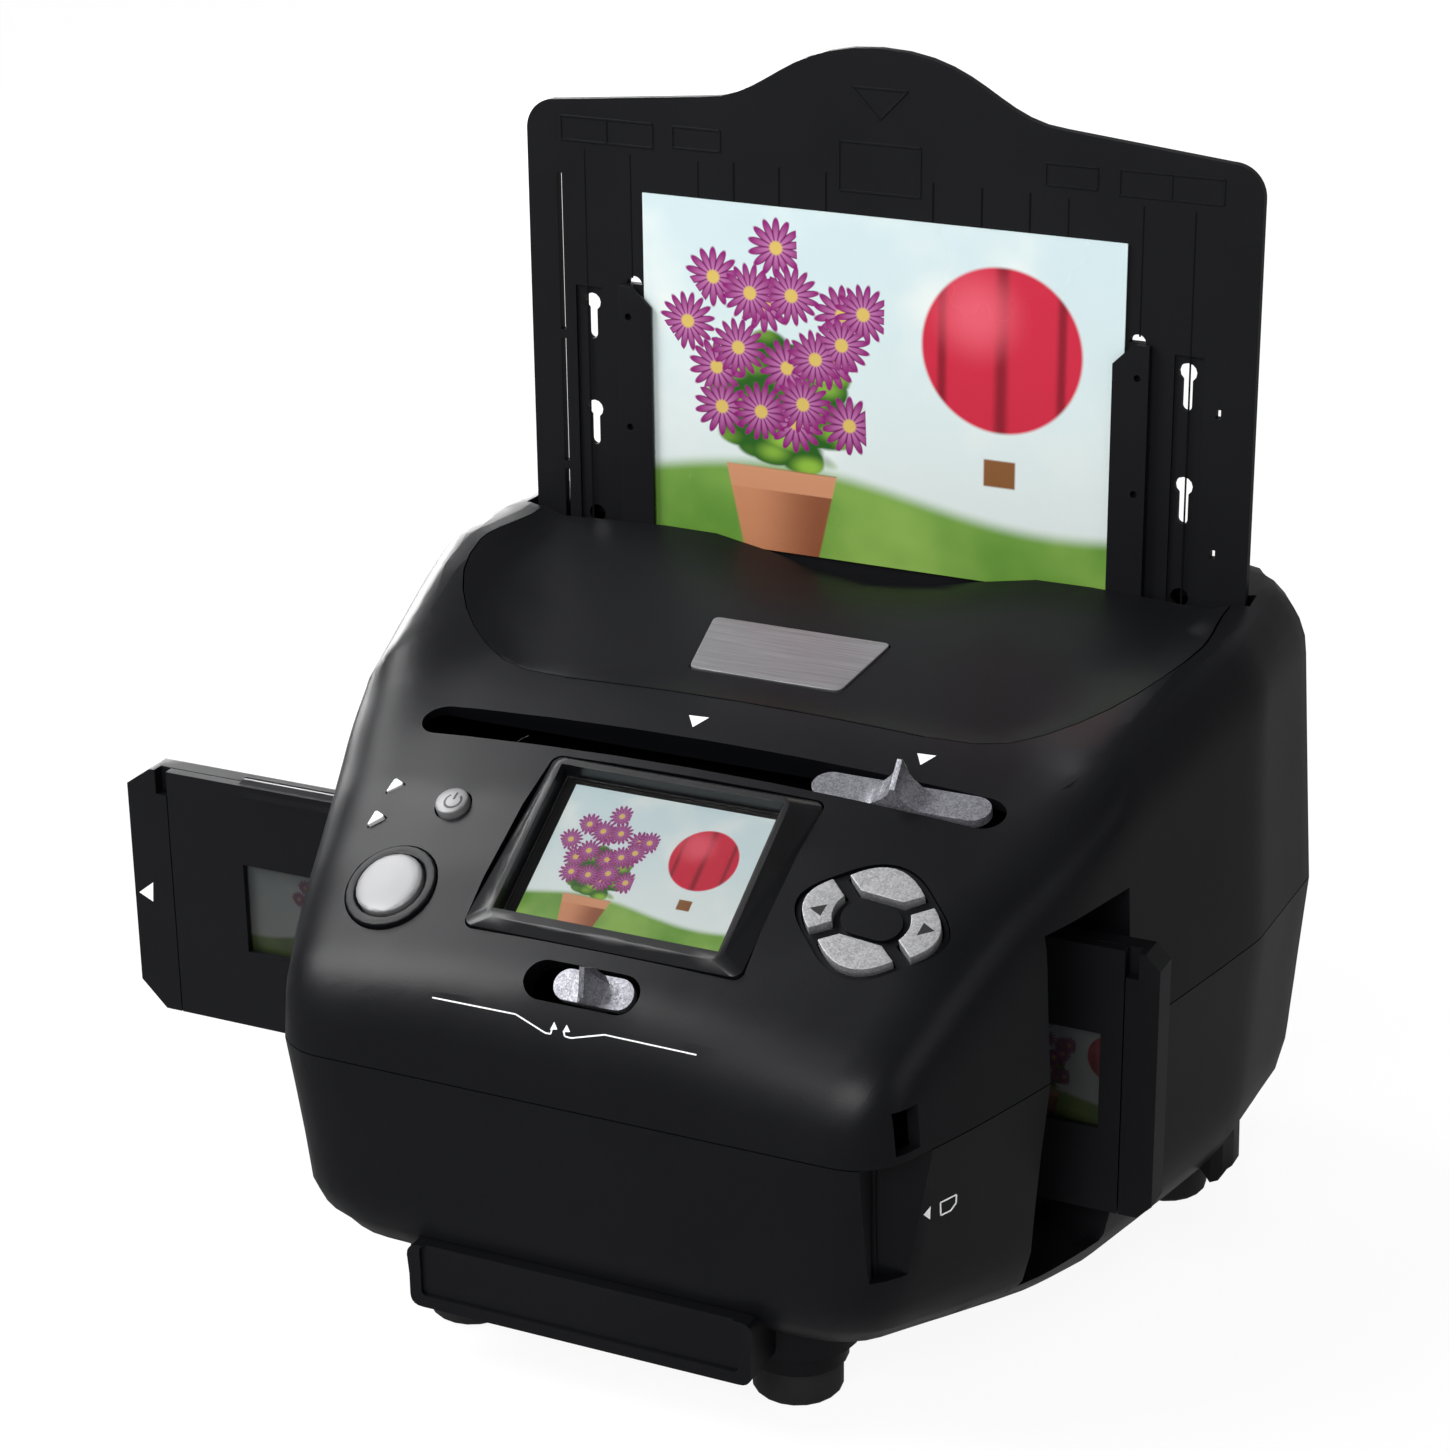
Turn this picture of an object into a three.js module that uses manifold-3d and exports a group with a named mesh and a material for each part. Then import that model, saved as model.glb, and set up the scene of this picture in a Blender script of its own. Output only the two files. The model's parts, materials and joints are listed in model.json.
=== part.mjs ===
// Desktop scanner for film strips, slides and paper prints.
// Millimetres, +Z up, +Y to the back. While it is built, X = 0 is the middle of the housing,
// Y = 0 is the plane of the print tray and Z = 0 is the desk; at the end the whole scanner
// is moved so that its origin is the middle of its footprint.
import * as THREE from 'three';
import { mergeVertices } from 'three/addons/utils/BufferGeometryUtils.js';
import Module from 'manifold-3d';

const wasm = await Module();
wasm.setup();

// Clearances and shared values
const fit = 0.3;            // gap between two pieces that touch
const slideFit = 0.5;       // gap round a piece that slides
const overrun = 3;          // how far a cutting tool runs past what it cuts
const stroke = 0.8;         // travel of every push button
const arcSteps = 10;        // segments of a full rounded end
const wall = 2.5;

// Housing shell, measured from the tray plane and from the desk
const frontReach = 174;
const rearReach = 34;
const frontHalfWidth = 70;
const rearHalfWidth = 114.5;
const frontCorner = 9;
const rearCorner = 24;
const partingHeight = 75.5;
const topHeight = 152;
const seam = 0.3;           // groove between the two shells
const rearTopRound = 12;
const ridgeRoundFront = 7;
const ridgeRoundRear = 18;
const crownDropFront = 7;   // fall of the crowned top from the middle to the line of the side
const crownDropRear = 3;
const sideLeanShare = 0.05;
const nosePlainShare = 0.4;     // rise of the nose over which the crown comes in
const noseShiftShare = 0.6;     // forward shift of the inner profile, so that the nose keeps its wall
const ridgeSteps = 6;
const crownSteps = 4;
const bulgeDepthShare = 0.404;
const bulgeWidthShare = 0.747;
const profileShares = [
  [0, 0.08], [0.004, 0.13], [0.017, 0.222], [0.04, 0.318], [0.084, 0.422], [0.13, 0.5],
  [0.192, 0.595], [0.25, 0.665], [0.308, 0.719], [0.356, 0.761], [0.428, 0.809], [0.5, 0.85],
  [0.61, 0.912], [0.716, 0.961], [0.8125, 0.99], [0.933, 1], [1, 1],
];

// Lower shell
const floorHeight = 21;
const sideTaper = 5;
const frontTaper = 6;
const rearTaper = 3;
const bottomRound = 17;
const rearBottomRound = 30;
const plinthHalfWidth = 43;
const plinthBottom = 15;
const plinthTop = 31;
const plinthFront = 171.5;
const plinthDepth = 26;
const plinthRim = 3;
const plinthInset = 0.8;
const footRadius = 10.5;
const footHeight = 9;
const footBoss = 14.5;
const footBossTop = 17;
const frontFootX = 42;
const frontFootBack = 144;
const rearFootX = 88;
const rearFootBack = 22;

// Film holder: one strip of six frames, carried across the housing
const holderFront = 98;
const holderLeft = 163;
const holderRight = 109.5;
const holderBottom = 34;
const holderTop = 100.5;
const holderBaseDepth = 4.6;
const holderLidDepth = 3;
const holderChamfer = 7;
const lidLeft = 151.5;
const lidRight = 101.5;
const lidSetback = 1.2;
const endNotchWidth = 3;
const endNotchDepth = 6.5;
const frameCount = 6;
const framePitch = 38;
const frameWidth = 36;
const frameHeight = 24;
const firstFrameLeft = 130;
const frameAxisHeight = 67;
const filmWidth = 35;
const filmDepth = 0.5;
const filmMargin = 3;
const knuckleRadius = 3.4;
const knuckleLeft = 131;
const knuckleRight = 78;
const knuckleCount = 5;
const holderPinRadius = 1.1;

// Finger alcoves round the holder, one in each side of the housing
const alcoveDepth = 74.5;
const alcoveFront = 119;
const alcoveRear = 88;
const alcoveBottom = 30;
const alcoveTop = 110;
const alcoveRound = 8;

// Print tray
const trayHalfWidth = 95.8;
const trayDepth = 2.4;
const trayBottom = 104;
const trayShoulder = 255.5;
const trayInnerShoulder = 259.5;
const trayCrest = 275;
const trayCorner = 8;
const humpHalfWidth = 47;
const humpTopHalfWidth = 9;
const printHalfWidth = 63.5;
const printTop = 234.3;
const printDropHeight = 89;
const printDepth = 0.4;
const railInner = 61.1;
const railOuter = 70.2;
const railTop = 210.4;
const railBaseInner = 64.2;
const railLip = 0.9;
const railChamfer = 5;
const railHoleX = 67.4;
const railHoleRadius = 0.9;
const railHoleHeights = [202.4, 173.5];
const moonX = 66.5;
const moonRadius = 2.1;
const stripInner = 75.8;
const stripOuter = 83.1;
const stripTop = 208.6;
const stripDepth = 0.8;
const keyholeX = 78.9;
const keyholePitch = 28.2;
const keyholeTop = 206.7;
const keyholeRadius = 2.3;
const keyholeSlotRadius = 1.3;
const keyholeLength = 11.8;
const keyholeCount = 3;
const longSlitX = 87;
const longSlitWidth = 1.3;
const longSlitTop = 237;
const longSlitBottom = 118;
const slitBridgeHeights = [195.3, 160.3];
const slitBridge = 2.2;

// Brow: the scooped panel in front of the tray slot
const traySlotHalfWidth = 96.6;
const traySlotHalfDepth = 3.6;
const browFlatHalfWidth = 46;
const browRearHalfWidth = 92.5;
const browFront = 82;
const browCurlPower = 2.3;
const browStep = 1.8;
const browSlope = 6;
const browDip = 8.5;
const browDipHalfWidth = 52;
const browDipRun = 42;
const browThickness = 2.6;
const badgeTopHalfWidth = 23.3;
const badgeBottomHalfWidth = 19.5;
const badgeLength = 22.8;
const badgeBack = 58.3;
const badgeRound = 2;
const badgeThickness = 1.2;
const badgeProud = 0.3;

// Display
const displayBack = 134.7;
const displayHeight = 118.7;
const displayTilt = 32;
const displayHalfWidth = 25;
const displayHalfLength = 18.8;
const bezelHalfWidth = 34;
const bezelFrontReach = 24.9;
const bezelRearReach = 26.4;
const bezelRearFall = 3.9;      // panel below the display plane at the bezel's rear edge
const bezelFrontRise = 1.3;     // panel above it at the front edge
const bezelProud = 2.9;
const bezelTopHalfWidth = 29.2;
const bezelTopFrontReach = 22.6;
const bezelTopRearReach = 21.8;
const bezelDepth = 9;
const bezelRound = 2.5;
const windowMargin = 1.4;
const windowThickness = 1.4;
const windowSink = 1.2;
const displayModuleDepth = 3.4;
const displayModuleMargin = 4;

// Long mode slider and the backlight that it carries
const longSlotHalfLength = 73.5;
const longSlotWidth = 10.5;
const longSlotBack = 103;
const slotCollar = 4;
const modeKnobX = 49;
const modeKnobLength = 43;
const modeKnobWidth = 8.4;
const knobDepth = 2.2;
const knobSink = 0.6;
const finHeight = 9;
const finFootShare = 0.2;   // half width of the fin's foot on the knob's length
const finTip = 1.3;
const finFrontShare = 0.55; // height of the fin at its front face
const armWidth = 8;
const armDepth = 5;
const armBend = 118;
const armSole = 108;
const modeTravel = 56.5;
const carriageOffset = 7.5;
const carriageWidth = 46;
const carriageBottom = 40;
const carriageTop = 100;
const carriageDepth = 3.4;
const bossSize = 8;
const lightWidth = 40;
const lightHeight = 28;
const lightDepth = 2;
const rodRadius = 2;
const rodBack = 76;
const rodHeights = [46, 92];
const rodHalfLength = 86;

// Short lens slider
const shortSlotX = -0.5;
const shortSlotHalfLength = 14;
const shortSlotWidth = 9.6;
const shortSlotBack = 164.2;
const lensKnobX = 2.4;
const lensKnobLength = 19.4;
const lensKnobWidth = 7.4;
const leverWidth = 5;
const leverDepth = 3;
const leverHeight = 90;
const leverTabBack = 138;
const lensTravel = 5.6;

// Buttons
const scanX = -56.2;
const scanBack = 149.6;
const scanRadius = 8.2;
const scanRingRadius = 11.2;
const powerX = -51.3;
const powerBack = 128.5;
const powerRadius = 4.1;
const buttonProud = 1;
const buttonCrown = 0.7;
const buttonDepth = 5;
const buttonFlange = 1.2;
const ringDepth = 3.6;
const lampX = -69.1;
const lampBacks = [125.1, 134.3];
const lampLength = 4.4;
const lampHalfWidth = 1.7;
const lampTurn = -27;
const lampDepth = 3.5;

// Key pad: a rounded diamond recess with four keys round a plain boss
const padX = 56.5;
const padBack = 136.9;
const padHalfWidth = 17.6;
const padHalfLength = 15.4;
const padTopHalfWidth = 4.5;
const padSideHalfLength = 3.5;
const padRound = 6;
const padSink = 1.6;
const padDepth = 5;
const padBossHalfWidth = 7;
const padBossHalfLength = 4.6;
const padBossSink = 0.5;
const keyProud = 0.5;
const keyStem = 7;
const keyInner = 6;
const keyInnerHalf = 5;
const keyWingX = 8.9;
const keyWingY = 9;
const keyPeak = 13.8;
const sideKeyInner = 7.8;
const sideKeyInnerHalf = 3.5;
const sideKeyHollow = 1;
const sideKeyWingX = 12;
const sideKeyWingY = 6.9;
const sideKeyPeak = 15.9;

// Inner works
const chassisBottom = 27;
const chassisThickness = 3;
const chassisHalfWidth = 64;
const chassisFront = 145;
const backplateFront = 8;
const backplateHalfWidth = 99;
const backplateTop = 130;
const bracketX = 82;
const bracketDepth = 10;
const bracketTop = 98;
const postRadius = 4;
const postPlaces = [[-50, 130], [50, 130], [-50, 20], [50, 20]];
const pedestalHalfWidth = 16;
const pedestalBack = 134;
const pedestalDepth = 6;
const pedestalTop = 80;
const guideInner = 90;
const guideOuter = 99.3;
const guideFront = 4.2;
const guideTop = 138;
const gateHalfWidth = 70.5;
const gateWall = 2;
const gateLip = 4;
const gateWindowHalfWidth = 60;
const gateWindowHalfHeight = 22;
const barrelRadius = 9;
const barrelNeckRadius = 6.5;
const barrelNeck = 8;
const barrelFront = 148;
const barrelBack = 122;
const glassRadius = 5.4;
const glassDepth = 2;
const sensorHalfWidth = 18;
const sensorHalfHeight = 16;
const boardThickness = 1.6;
const controlHalfWidth = 68;
const controlHalfLength = 18.5;
const controlBack = 134;
const controlSink = 13;
const switchHalf = 3;
const mainHalfWidth = 46;
const mainFront = 68;
const mainRear = 12;
const standoffRadius = 3;
const standoffHeight = 5;
const chipHalf = 9;
const chipHeight = 1.6;

// Sockets at the right front corner
const portHeight = 82.6;
const portWidth = 5.4;
const portTall = 9;
const portBack = 163.9;
const portLeft = 58;
const portRight = 70;
const portShell = 0.6;
const sideBoardLeft = 42;
const sideBoardRight = 63;
const sideBoardBack = 159.3;
const sideBoardTop = 89;
const cardWallX = 66;
const cardBottom = 46;
const cardTop = 73;
const cardSlotWidth = 2.6;
const cardSlotBack = 165.3;
const cardRecessBack = 163;
const cardRecessCorner = 70;
const cardRecessCornerBack = 160.5;
const cardRecessEnd = 152;
const cardSocketLeft = 44;
const cardSocketDepth = 5.6;

// Case screws, sunk in deep wells under the lower shell
const screwRadius = 1.5;
const screwHeadRadius = 2.8;
const screwHeadDepth = 2;
const screwWellRadius = 3.3;
const screwWellTop = 52;
const screwBossRadius = 5.5;
const screwJoinHeight = 65;
const screwPostRadius = 4.2;
const screwBite = 9;
const screwPlaces = [[-30, 159], [30, 159], [-60, -19], [60, -19]];

const finish = {
  shell: { color: 0x1c1c1e, roughness: 0.55, metalness: 0 },
  tray: { color: 0x111113, roughness: 0.6, metalness: 0 },
  silver: { color: 0xa8a8ae, roughness: 0.35, metalness: 0.6 },
  metal: { color: 0x8e9196, roughness: 0.3, metalness: 1 },
  board: { color: 0x1f4a33, roughness: 0.5, metalness: 0 },
  chassis: { color: 0x2b2d30, roughness: 0.6, metalness: 0 },
  glass: { color: 0x20262c, roughness: 0.05, metalness: 0 },
  picture: { color: 0xb9d8e6, roughness: 0.3, metalness: 0 },
  light: { color: 0xe8ecec, roughness: 0.4, metalness: 0 },
  rubber: { color: 0x151515, roughness: 0.85, metalness: 0 },
  film: { color: 0x2a211d, roughness: 0.25, metalness: 0 },
};

const scanner = new THREE.Group();

function add(name, geometry, look, parent = scanner) {
  const mesh = new THREE.Mesh(geometry, new THREE.MeshStandardMaterial(look));
  mesh.name = name;
  parent.add(mesh);
  return mesh;
}

// Booleans on closed geometry

function bare(geometry) {
  const copy = geometry.clone();
  copy.deleteAttribute('normal');
  copy.deleteAttribute('uv');
  const merged = mergeVertices(copy);
  const index = [];
  for (let i = 0; i < merged.index.count; i += 3) {
    const [a, b, c] = merged.index.array.slice(i, i + 3);
    if (a !== b && b !== c && c !== a) {
      index.push(a, b, c);
    }
  }
  merged.setIndex(index);
  return merged;
}

function solidOf(geometry) {
  const merged = bare(geometry);
  const vertProperties = new Float32Array(merged.attributes.position.array);
  const triVerts = new Uint32Array(merged.index.array);
  return new wasm.Manifold(new wasm.Mesh({ numProp: 3, vertProperties, triVerts }));
}

function geometryOf(solid) {
  const mesh = solid.getMesh();
  const geometry = new THREE.BufferGeometry();
  geometry.setAttribute('position', new THREE.BufferAttribute(mesh.vertProperties, 3));
  geometry.setIndex(new THREE.BufferAttribute(mesh.triVerts, 1));
  return geometry;
}

function joined(...geometries) {
  const solids = geometries.map(solidOf);
  return geometryOf(solids.reduce((sum, next) => sum.add(next)));
}

function cut(geometry, ...tools) {
  const solids = tools.map(solidOf);
  return geometryOf(solids.reduce((rest, tool) => rest.subtract(tool), solidOf(geometry)));
}

function common(first, second) {
  return geometryOf(solidOf(first).intersect(solidOf(second)));
}

// Plain forms

function box(x0, x1, y0, y1, z0, z1) {
  const geometry = new THREE.BoxGeometry(x1 - x0, y1 - y0, z1 - z0);
  return geometry.translate((x0 + x1) / 2, (y0 + y1) / 2, (z0 + z1) / 2);
}

function roundedShape(halfWidth, halfLength, radius) {
  const r = Math.min(radius, halfWidth, halfLength);
  const shape = new THREE.Shape();
  shape.absarc(halfWidth - r, halfLength - r, r, 0, Math.PI / 2);
  shape.absarc(r - halfWidth, halfLength - r, r, Math.PI / 2, Math.PI);
  shape.absarc(r - halfWidth, r - halfLength, r, Math.PI, Math.PI * 3 / 2);
  shape.absarc(halfWidth - r, r - halfLength, r, Math.PI * 3 / 2, Math.PI * 2);
  return shape;
}

function extruded(shape, bottom, top, curveSegments = arcSteps / 2) {
  const options = { depth: top - bottom, bevelEnabled: false, curveSegments };
  return new THREE.ExtrudeGeometry(shape, options).translate(0, 0, bottom);
}

function polygon(points) {
  return new THREE.Shape(points.map(([x, y]) => new THREE.Vector2(x, y)));
}

function roundedPolygon(corners, radius) {
  const shape = new THREE.Shape();
  const points = corners.map(([x, y]) => new THREE.Vector2(x, y));
  points.forEach((corner, i) => {
    const before = points[(i + points.length - 1) % points.length];
    const after = points[(i + 1) % points.length];
    const enter = corner.clone().lerp(before, Math.min(radius / corner.distanceTo(before), 0.5));
    const leave = corner.clone().lerp(after, Math.min(radius / corner.distanceTo(after), 0.5));
    if (i === 0) {
      shape.moveTo(enter.x, enter.y);
    } else {
      shape.lineTo(enter.x, enter.y);
    }
    shape.quadraticCurveTo(corner.x, corner.y, leave.x, leave.y);
  });
  return shape;
}

// An outline drawn in X and Z becomes a plate between two depths
function upright(shape, front, back, curveSegments = arcSteps / 2) {
  const geometry = extruded(shape, 0, back - front, curveSegments);
  return geometry.rotateX(Math.PI / 2).translate(0, back, 0);
}

// An outline drawn in Y and Z becomes a plate between two widths
function sideways(shape, left, right) {
  const geometry = extruded(shape, 0, right - left);
  return geometry.rotateX(Math.PI / 2).rotateZ(Math.PI / 2).translate(left, 0, 0);
}

function turned(profile, segments = arcSteps * 2) {
  const points = profile.map(([radius, height]) => new THREE.Vector2(radius, height));
  return new THREE.LatheGeometry(points, segments).rotateX(Math.PI / 2);
}

function post(x, y, bottom, top, radius, segments = arcSteps + 2) {
  const geometry = new THREE.CylinderGeometry(radius, radius, top - bottom, segments);
  return geometry.rotateX(Math.PI / 2).translate(x, y, (bottom + top) / 2);
}

function mirrored(geometry) {
  const copy = bare(geometry).scale(-1, 1, 1);
  copy.index.array.reverse();
  return copy;
}

function lofted(rings) {
  const count = rings[0].length;
  const positions = rings.flat().flatMap((point) => point.toArray());
  const index = [];
  for (let i = 0; i + 1 < rings.length; i += 1) {
    for (let j = 0; j < count; j += 1) {
      const next = (j + 1) % count;
      const a = i * count + j;
      const b = i * count + next;
      index.push(a, b, a + count, b, b + count, a + count);
    }
  }
  index.push(...capped(rings[0]).flatMap(([a, b, c]) => [b, a, c]));
  const last = (rings.length - 1) * count;
  index.push(...capped(rings[rings.length - 1]).flat().map((corner) => corner + last));
  const geometry = new THREE.BufferGeometry();
  geometry.setAttribute('position', new THREE.Float32BufferAttribute(positions, 3));
  geometry.setIndex(index);
  return outward(geometry);
}

// Triangles of a flat ring, wound the way the ring runs
function capped(ring) {
  const normal = new THREE.Vector3();
  ring.forEach((point, i) => normal.add(point.clone().cross(ring[(i + 1) % ring.length])));
  normal.normalize();
  const across = new THREE.Vector3(normal.z, normal.x, normal.y).cross(normal).normalize();
  const along = normal.clone().cross(across);
  const flat = ring.map((point) => new THREE.Vector2(point.dot(across), point.dot(along)));
  return THREE.ShapeUtils.triangulateShape(flat, []).map(([a, b, c]) => {
    const area = (flat[b].x - flat[a].x) * (flat[c].y - flat[a].y)
      - (flat[c].x - flat[a].x) * (flat[b].y - flat[a].y);
    return area > 0 ? [a, b, c] : [a, c, b];
  });
}

function outward(geometry) {
  const place = geometry.attributes.position;
  const index = geometry.index.array;
  const [a, b, c] = [0, 0, 0].map(() => new THREE.Vector3());
  let volume = 0;
  for (let i = 0; i < index.length; i += 3) {
    a.fromBufferAttribute(place, index[i]);
    b.fromBufferAttribute(place, index[i + 1]);
    c.fromBufferAttribute(place, index[i + 2]);
    volume += a.dot(b.cross(c));
  }
  if (volume < 0) {
    for (let i = 0; i < index.length; i += 3) {
      [index[i], index[i + 1]] = [index[i + 1], index[i]];
    }
  }
  return geometry;
}

// Housing outline: half width, centre height and panel surface at a given depth

const houseDepth = frontReach + rearReach;

const planCurve = new THREE.QuadraticBezierCurve(
  new THREE.Vector2(-frontReach, frontHalfWidth),
  new THREE.Vector2(
    bulgeDepthShare * houseDepth - frontReach,
    frontHalfWidth + bulgeWidthShare * (rearHalfWidth - frontHalfWidth),
  ),
  new THREE.Vector2(rearReach, rearHalfWidth),
);

const profileCurve = new THREE.SplineCurve(profileShares.map(([depthShare, riseShare]) => (
  new THREE.Vector2(
    depthShare * houseDepth - frontReach,
    partingHeight + riseShare * (topHeight - partingHeight),
  )
)));

// The second coordinate of a curve where its first one is x
function valueOn(curve, x) {
  let low = 0;
  let high = 1;
  while (high - low > Number.EPSILON * curve.getLength()) {
    const middle = (low + high) / 2;
    if (curve.getPoint(middle).x < x) {
      low = middle;
    } else {
      high = middle;
    }
  }
  return curve.getPoint(low).y;
}

// How far a quarter round of this radius has fallen, this far into it
function roundedOff(radius, into) {
  const run = Math.min(Math.max(into, 0), radius);
  return radius - Math.sqrt(radius * radius - run * run);
}

function halfWidthAt(y, inset = 0) {
  const frontRound = frontCorner - inset;
  const rearRound = rearCorner - inset;
  const intoFront = frontRound - (y + frontReach - inset);
  const intoRear = rearRound - (rearReach - inset - y);
  const edge = valueOn(planCurve, y) - inset;
  return edge - roundedOff(frontRound, intoFront) - roundedOff(rearRound, intoRear);
}

function crownAt(y, inset = 0) {
  const round = rearTopRound - inset;
  const intoRear = round - (rearReach - inset - y);
  return valueOn(profileCurve, y - inset * noseShiftShare) - inset - roundedOff(round, intoRear);
}

function crownDropAt(y) {
  const share = (y + frontReach) / houseDepth;
  const rise = (crownAt(y) - partingHeight) / (topHeight - partingHeight);
  const full = crownDropFront + (crownDropRear - crownDropFront) * share;
  return full * Math.min(1, rise / nosePlainShare);
}

function surfaceAt(x, y) {
  return crownAt(y) - crownDropAt(y) * (x / halfWidthAt(y)) ** 2;
}

// Depths at which the housing is sectioned, closer together in the rounded corners
function stations(inset = 0) {
  const front = -frontReach + inset;
  const rear = rearReach - inset;
  const quarter = [0, 1, 2, 3].map((i) => 1 - Math.cos((Math.PI / 2) * (i / 4)));
  const frontRound = frontCorner - inset;
  const rearRound = rearCorner - inset;
  const middleStart = front + frontRound;
  const middleEnd = rear - rearRound;
  const middleCount = 9;
  const middle = Array.from({ length: middleCount + 1 }, (_, i) => (
    middleStart + (middleEnd - middleStart) * (i / middleCount)
  ));
  return [
    ...quarter.map((share) => front + frontRound * share),
    ...middle,
    ...quarter.map((share) => rear - rearRound * share).reverse(),
  ];
}

// One upright section of the upper shell: leaning sides, ridge rounds and a crowned top
function upperSection(y, inset, bottom) {
  const half = halfWidthAt(y, inset);
  const crown = crownAt(y, inset);
  const rise = crown - partingHeight;
  const drop = crownDropAt(y);
  const share = (y + frontReach) / houseDepth;
  const fullRound = ridgeRoundFront + (ridgeRoundRear - ridgeRoundFront) * share;
  const round = Math.min(fullRound, rise / 2);
  const shoulder = half - sideLeanShare * rise;
  const tilt = Math.atan(2 * drop * (shoulder - round) / (half * half));
  const innerX = shoulder - round * (1 - Math.sin(tilt));
  const innerZ = crown - drop * (innerX / half) ** 2;
  const side = [[half + sideLeanShare * (partingHeight - bottom), bottom]];
  for (let i = 0; i <= ridgeSteps; i += 1) {
    const turn = (Math.PI / 2 - tilt) * (i / ridgeSteps);
    side.push([
      shoulder - round * (1 - Math.cos(turn)),
      innerZ + round * (Math.sin(turn) - Math.cos(tilt)),
    ]);
  }
  for (let i = 1; i < crownSteps; i += 1) {
    const x = innerX * (1 - i / crownSteps);
    side.push([x, crown - drop * (x / half) ** 2]);
  }
  const left = side.map(([x, z]) => new THREE.Vector3(-x, y, z)).reverse();
  const right = side.map(([x, z]) => new THREE.Vector3(x, y, z));
  return [...right, new THREE.Vector3(0, y, crown), ...left];
}

function upperForm(inset, bottom) {
  return lofted(stations(inset).map((y) => upperSection(y, inset, bottom)));
}

// One level outline of the lower shell, drawn in from the parting line by the tapers
function lowerOutline(z, inset) {
  const bottom = floorHeight + inset;
  const share = (partingHeight - z) / (partingHeight - bottom);
  const round = bottomRound - inset;
  const rearRound = rearBottomRound - inset;
  const side = sideTaper * share + roundedOff(round, bottom + round - z);
  const front = frontTaper * share + roundedOff(round, bottom + round - z);
  const rear = rearTaper * share + roundedOff(rearRound, bottom + rearRound - z) / 2;
  const places = stations(inset);
  const start = places[0];
  const run = places[places.length - 1] - start;
  const right = places.map((y) => new THREE.Vector3(
    halfWidthAt(y, inset) - side,
    start + front + (y - start) * (run - front - rear) / run,
    z,
  ));
  const left = right.map((point) => new THREE.Vector3(-point.x, point.y, z)).reverse();
  return [...right, ...left];
}

function lowerForm(inset, top) {
  const bottom = floorHeight + inset;
  const round = bottomRound - inset;
  const rearRound = rearBottomRound - inset;
  const steps = 4;
  const levels = Array.from({ length: steps }, (_, i) => (
    bottom + round * (1 - Math.cos((Math.PI / 2) * (i / steps)))
  ));
  const heights = [...levels, bottom + round, bottom + rearRound, partingHeight];
  if (top > partingHeight) heights.push(top);
  return lofted(heights.map((z) => {
    const ring = lowerOutline(Math.min(z, partingHeight), inset);
    ring.forEach((point) => point.setZ(z));
    return ring;
  }));
}

// A frame lying on the panel: x across, y up the slope, z along its outward normal
function onPanel(x, back, height = surfaceAt) {
  const y = -back;
  const rise = height(x, y + wall) - height(x, y - wall);
  const roll = height(x + wall, y) - height(x - wall, y);
  const across = new THREE.Vector3(2 * wall, 0, roll).normalize();
  const up = new THREE.Vector3(0, 2 * wall, rise).normalize();
  const normal = across.clone().cross(up).normalize();
  up.copy(normal).cross(across);
  const place = new THREE.Matrix4().makeBasis(across, up, normal);
  return place.setPosition(x, y, height(x, y));
}

function placed(geometry, matrix) {
  return geometry.clone().applyMatrix4(matrix);
}


// Upper shell

function alcove(grow) {
  const inner = alcoveDepth - grow;
  const front = -alcoveFront - grow;
  const rear = -alcoveRear + grow;
  const round = alcoveRound + grow;
  const shape = new THREE.Shape();
  shape.moveTo(rearHalfWidth, front);
  shape.lineTo(rearHalfWidth, rear);
  shape.lineTo(inner, rear);
  shape.lineTo(inner, front + round);
  shape.absarc(inner + round, front + round, round, Math.PI, Math.PI * 3 / 2);
  return extruded(shape, alcoveBottom - grow, alcoveTop + grow);
}

const holderRear = holderFront - holderBaseDepth - holderLidDepth;
const holderCrest = holderTop + slideFit;

function holderPassage() {
  return box(
    -rearHalfWidth, rearHalfWidth,
    -holderFront - slideFit, -holderRear + slideFit,
    holderBottom - slideFit, holderCrest + slideFit,
  );
}

function longSlot(grow = 0) {
  return roundedShape(longSlotHalfLength + grow, longSlotWidth / 2 + grow, longSlotWidth);
}

function shortSlot(grow = 0) {
  return roundedShape(shortSlotHalfLength + grow, shortSlotWidth / 2 + grow, shortSlotWidth);
}

function padShape(grow = 0) {
  const corners = [
    [padTopHalfWidth, padHalfLength + grow],
    [padHalfWidth + grow, padSideHalfLength],
    [padHalfWidth + grow, -padSideHalfLength],
    [padTopHalfWidth, -padHalfLength - grow],
    [-padTopHalfWidth, -padHalfLength - grow],
    [-padHalfWidth - grow, -padSideHalfLength],
    [-padHalfWidth - grow, padSideHalfLength],
    [-padTopHalfWidth, padHalfLength + grow],
  ];
  return roundedPolygon(corners, padRound);
}

function lampShape(grow = 0) {
  const corners = [
    [0, -lampLength / 2 - grow * 2],
    [lampHalfWidth + grow * 2, lampLength / 2 + grow],
    [-lampHalfWidth - grow * 2, lampLength / 2 + grow],
  ];
  return roundedPolygon(corners, lampHalfWidth / 2);
}

const displayPlace = new THREE.Matrix4()
  .makeTranslation(0, -displayBack, displayHeight)
  .multiply(new THREE.Matrix4().makeRotationX(THREE.MathUtils.degToRad(displayTilt)));
const longSlotPlace = onPanel(0, longSlotBack);
const shortSlotPlace = onPanel(shortSlotX, shortSlotBack);
const scanPlace = onPanel(scanX, scanBack);
const powerPlace = onPanel(powerX, powerBack);
const padPlace = onPanel(padX, padBack);
const lampPlaces = lampBacks.map((back) => (
  onPanel(lampX, back).multiply(
    new THREE.Matrix4().makeRotationZ(THREE.MathUtils.degToRad(lampTurn)),
  )
));

const punch = wall * 3;

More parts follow.
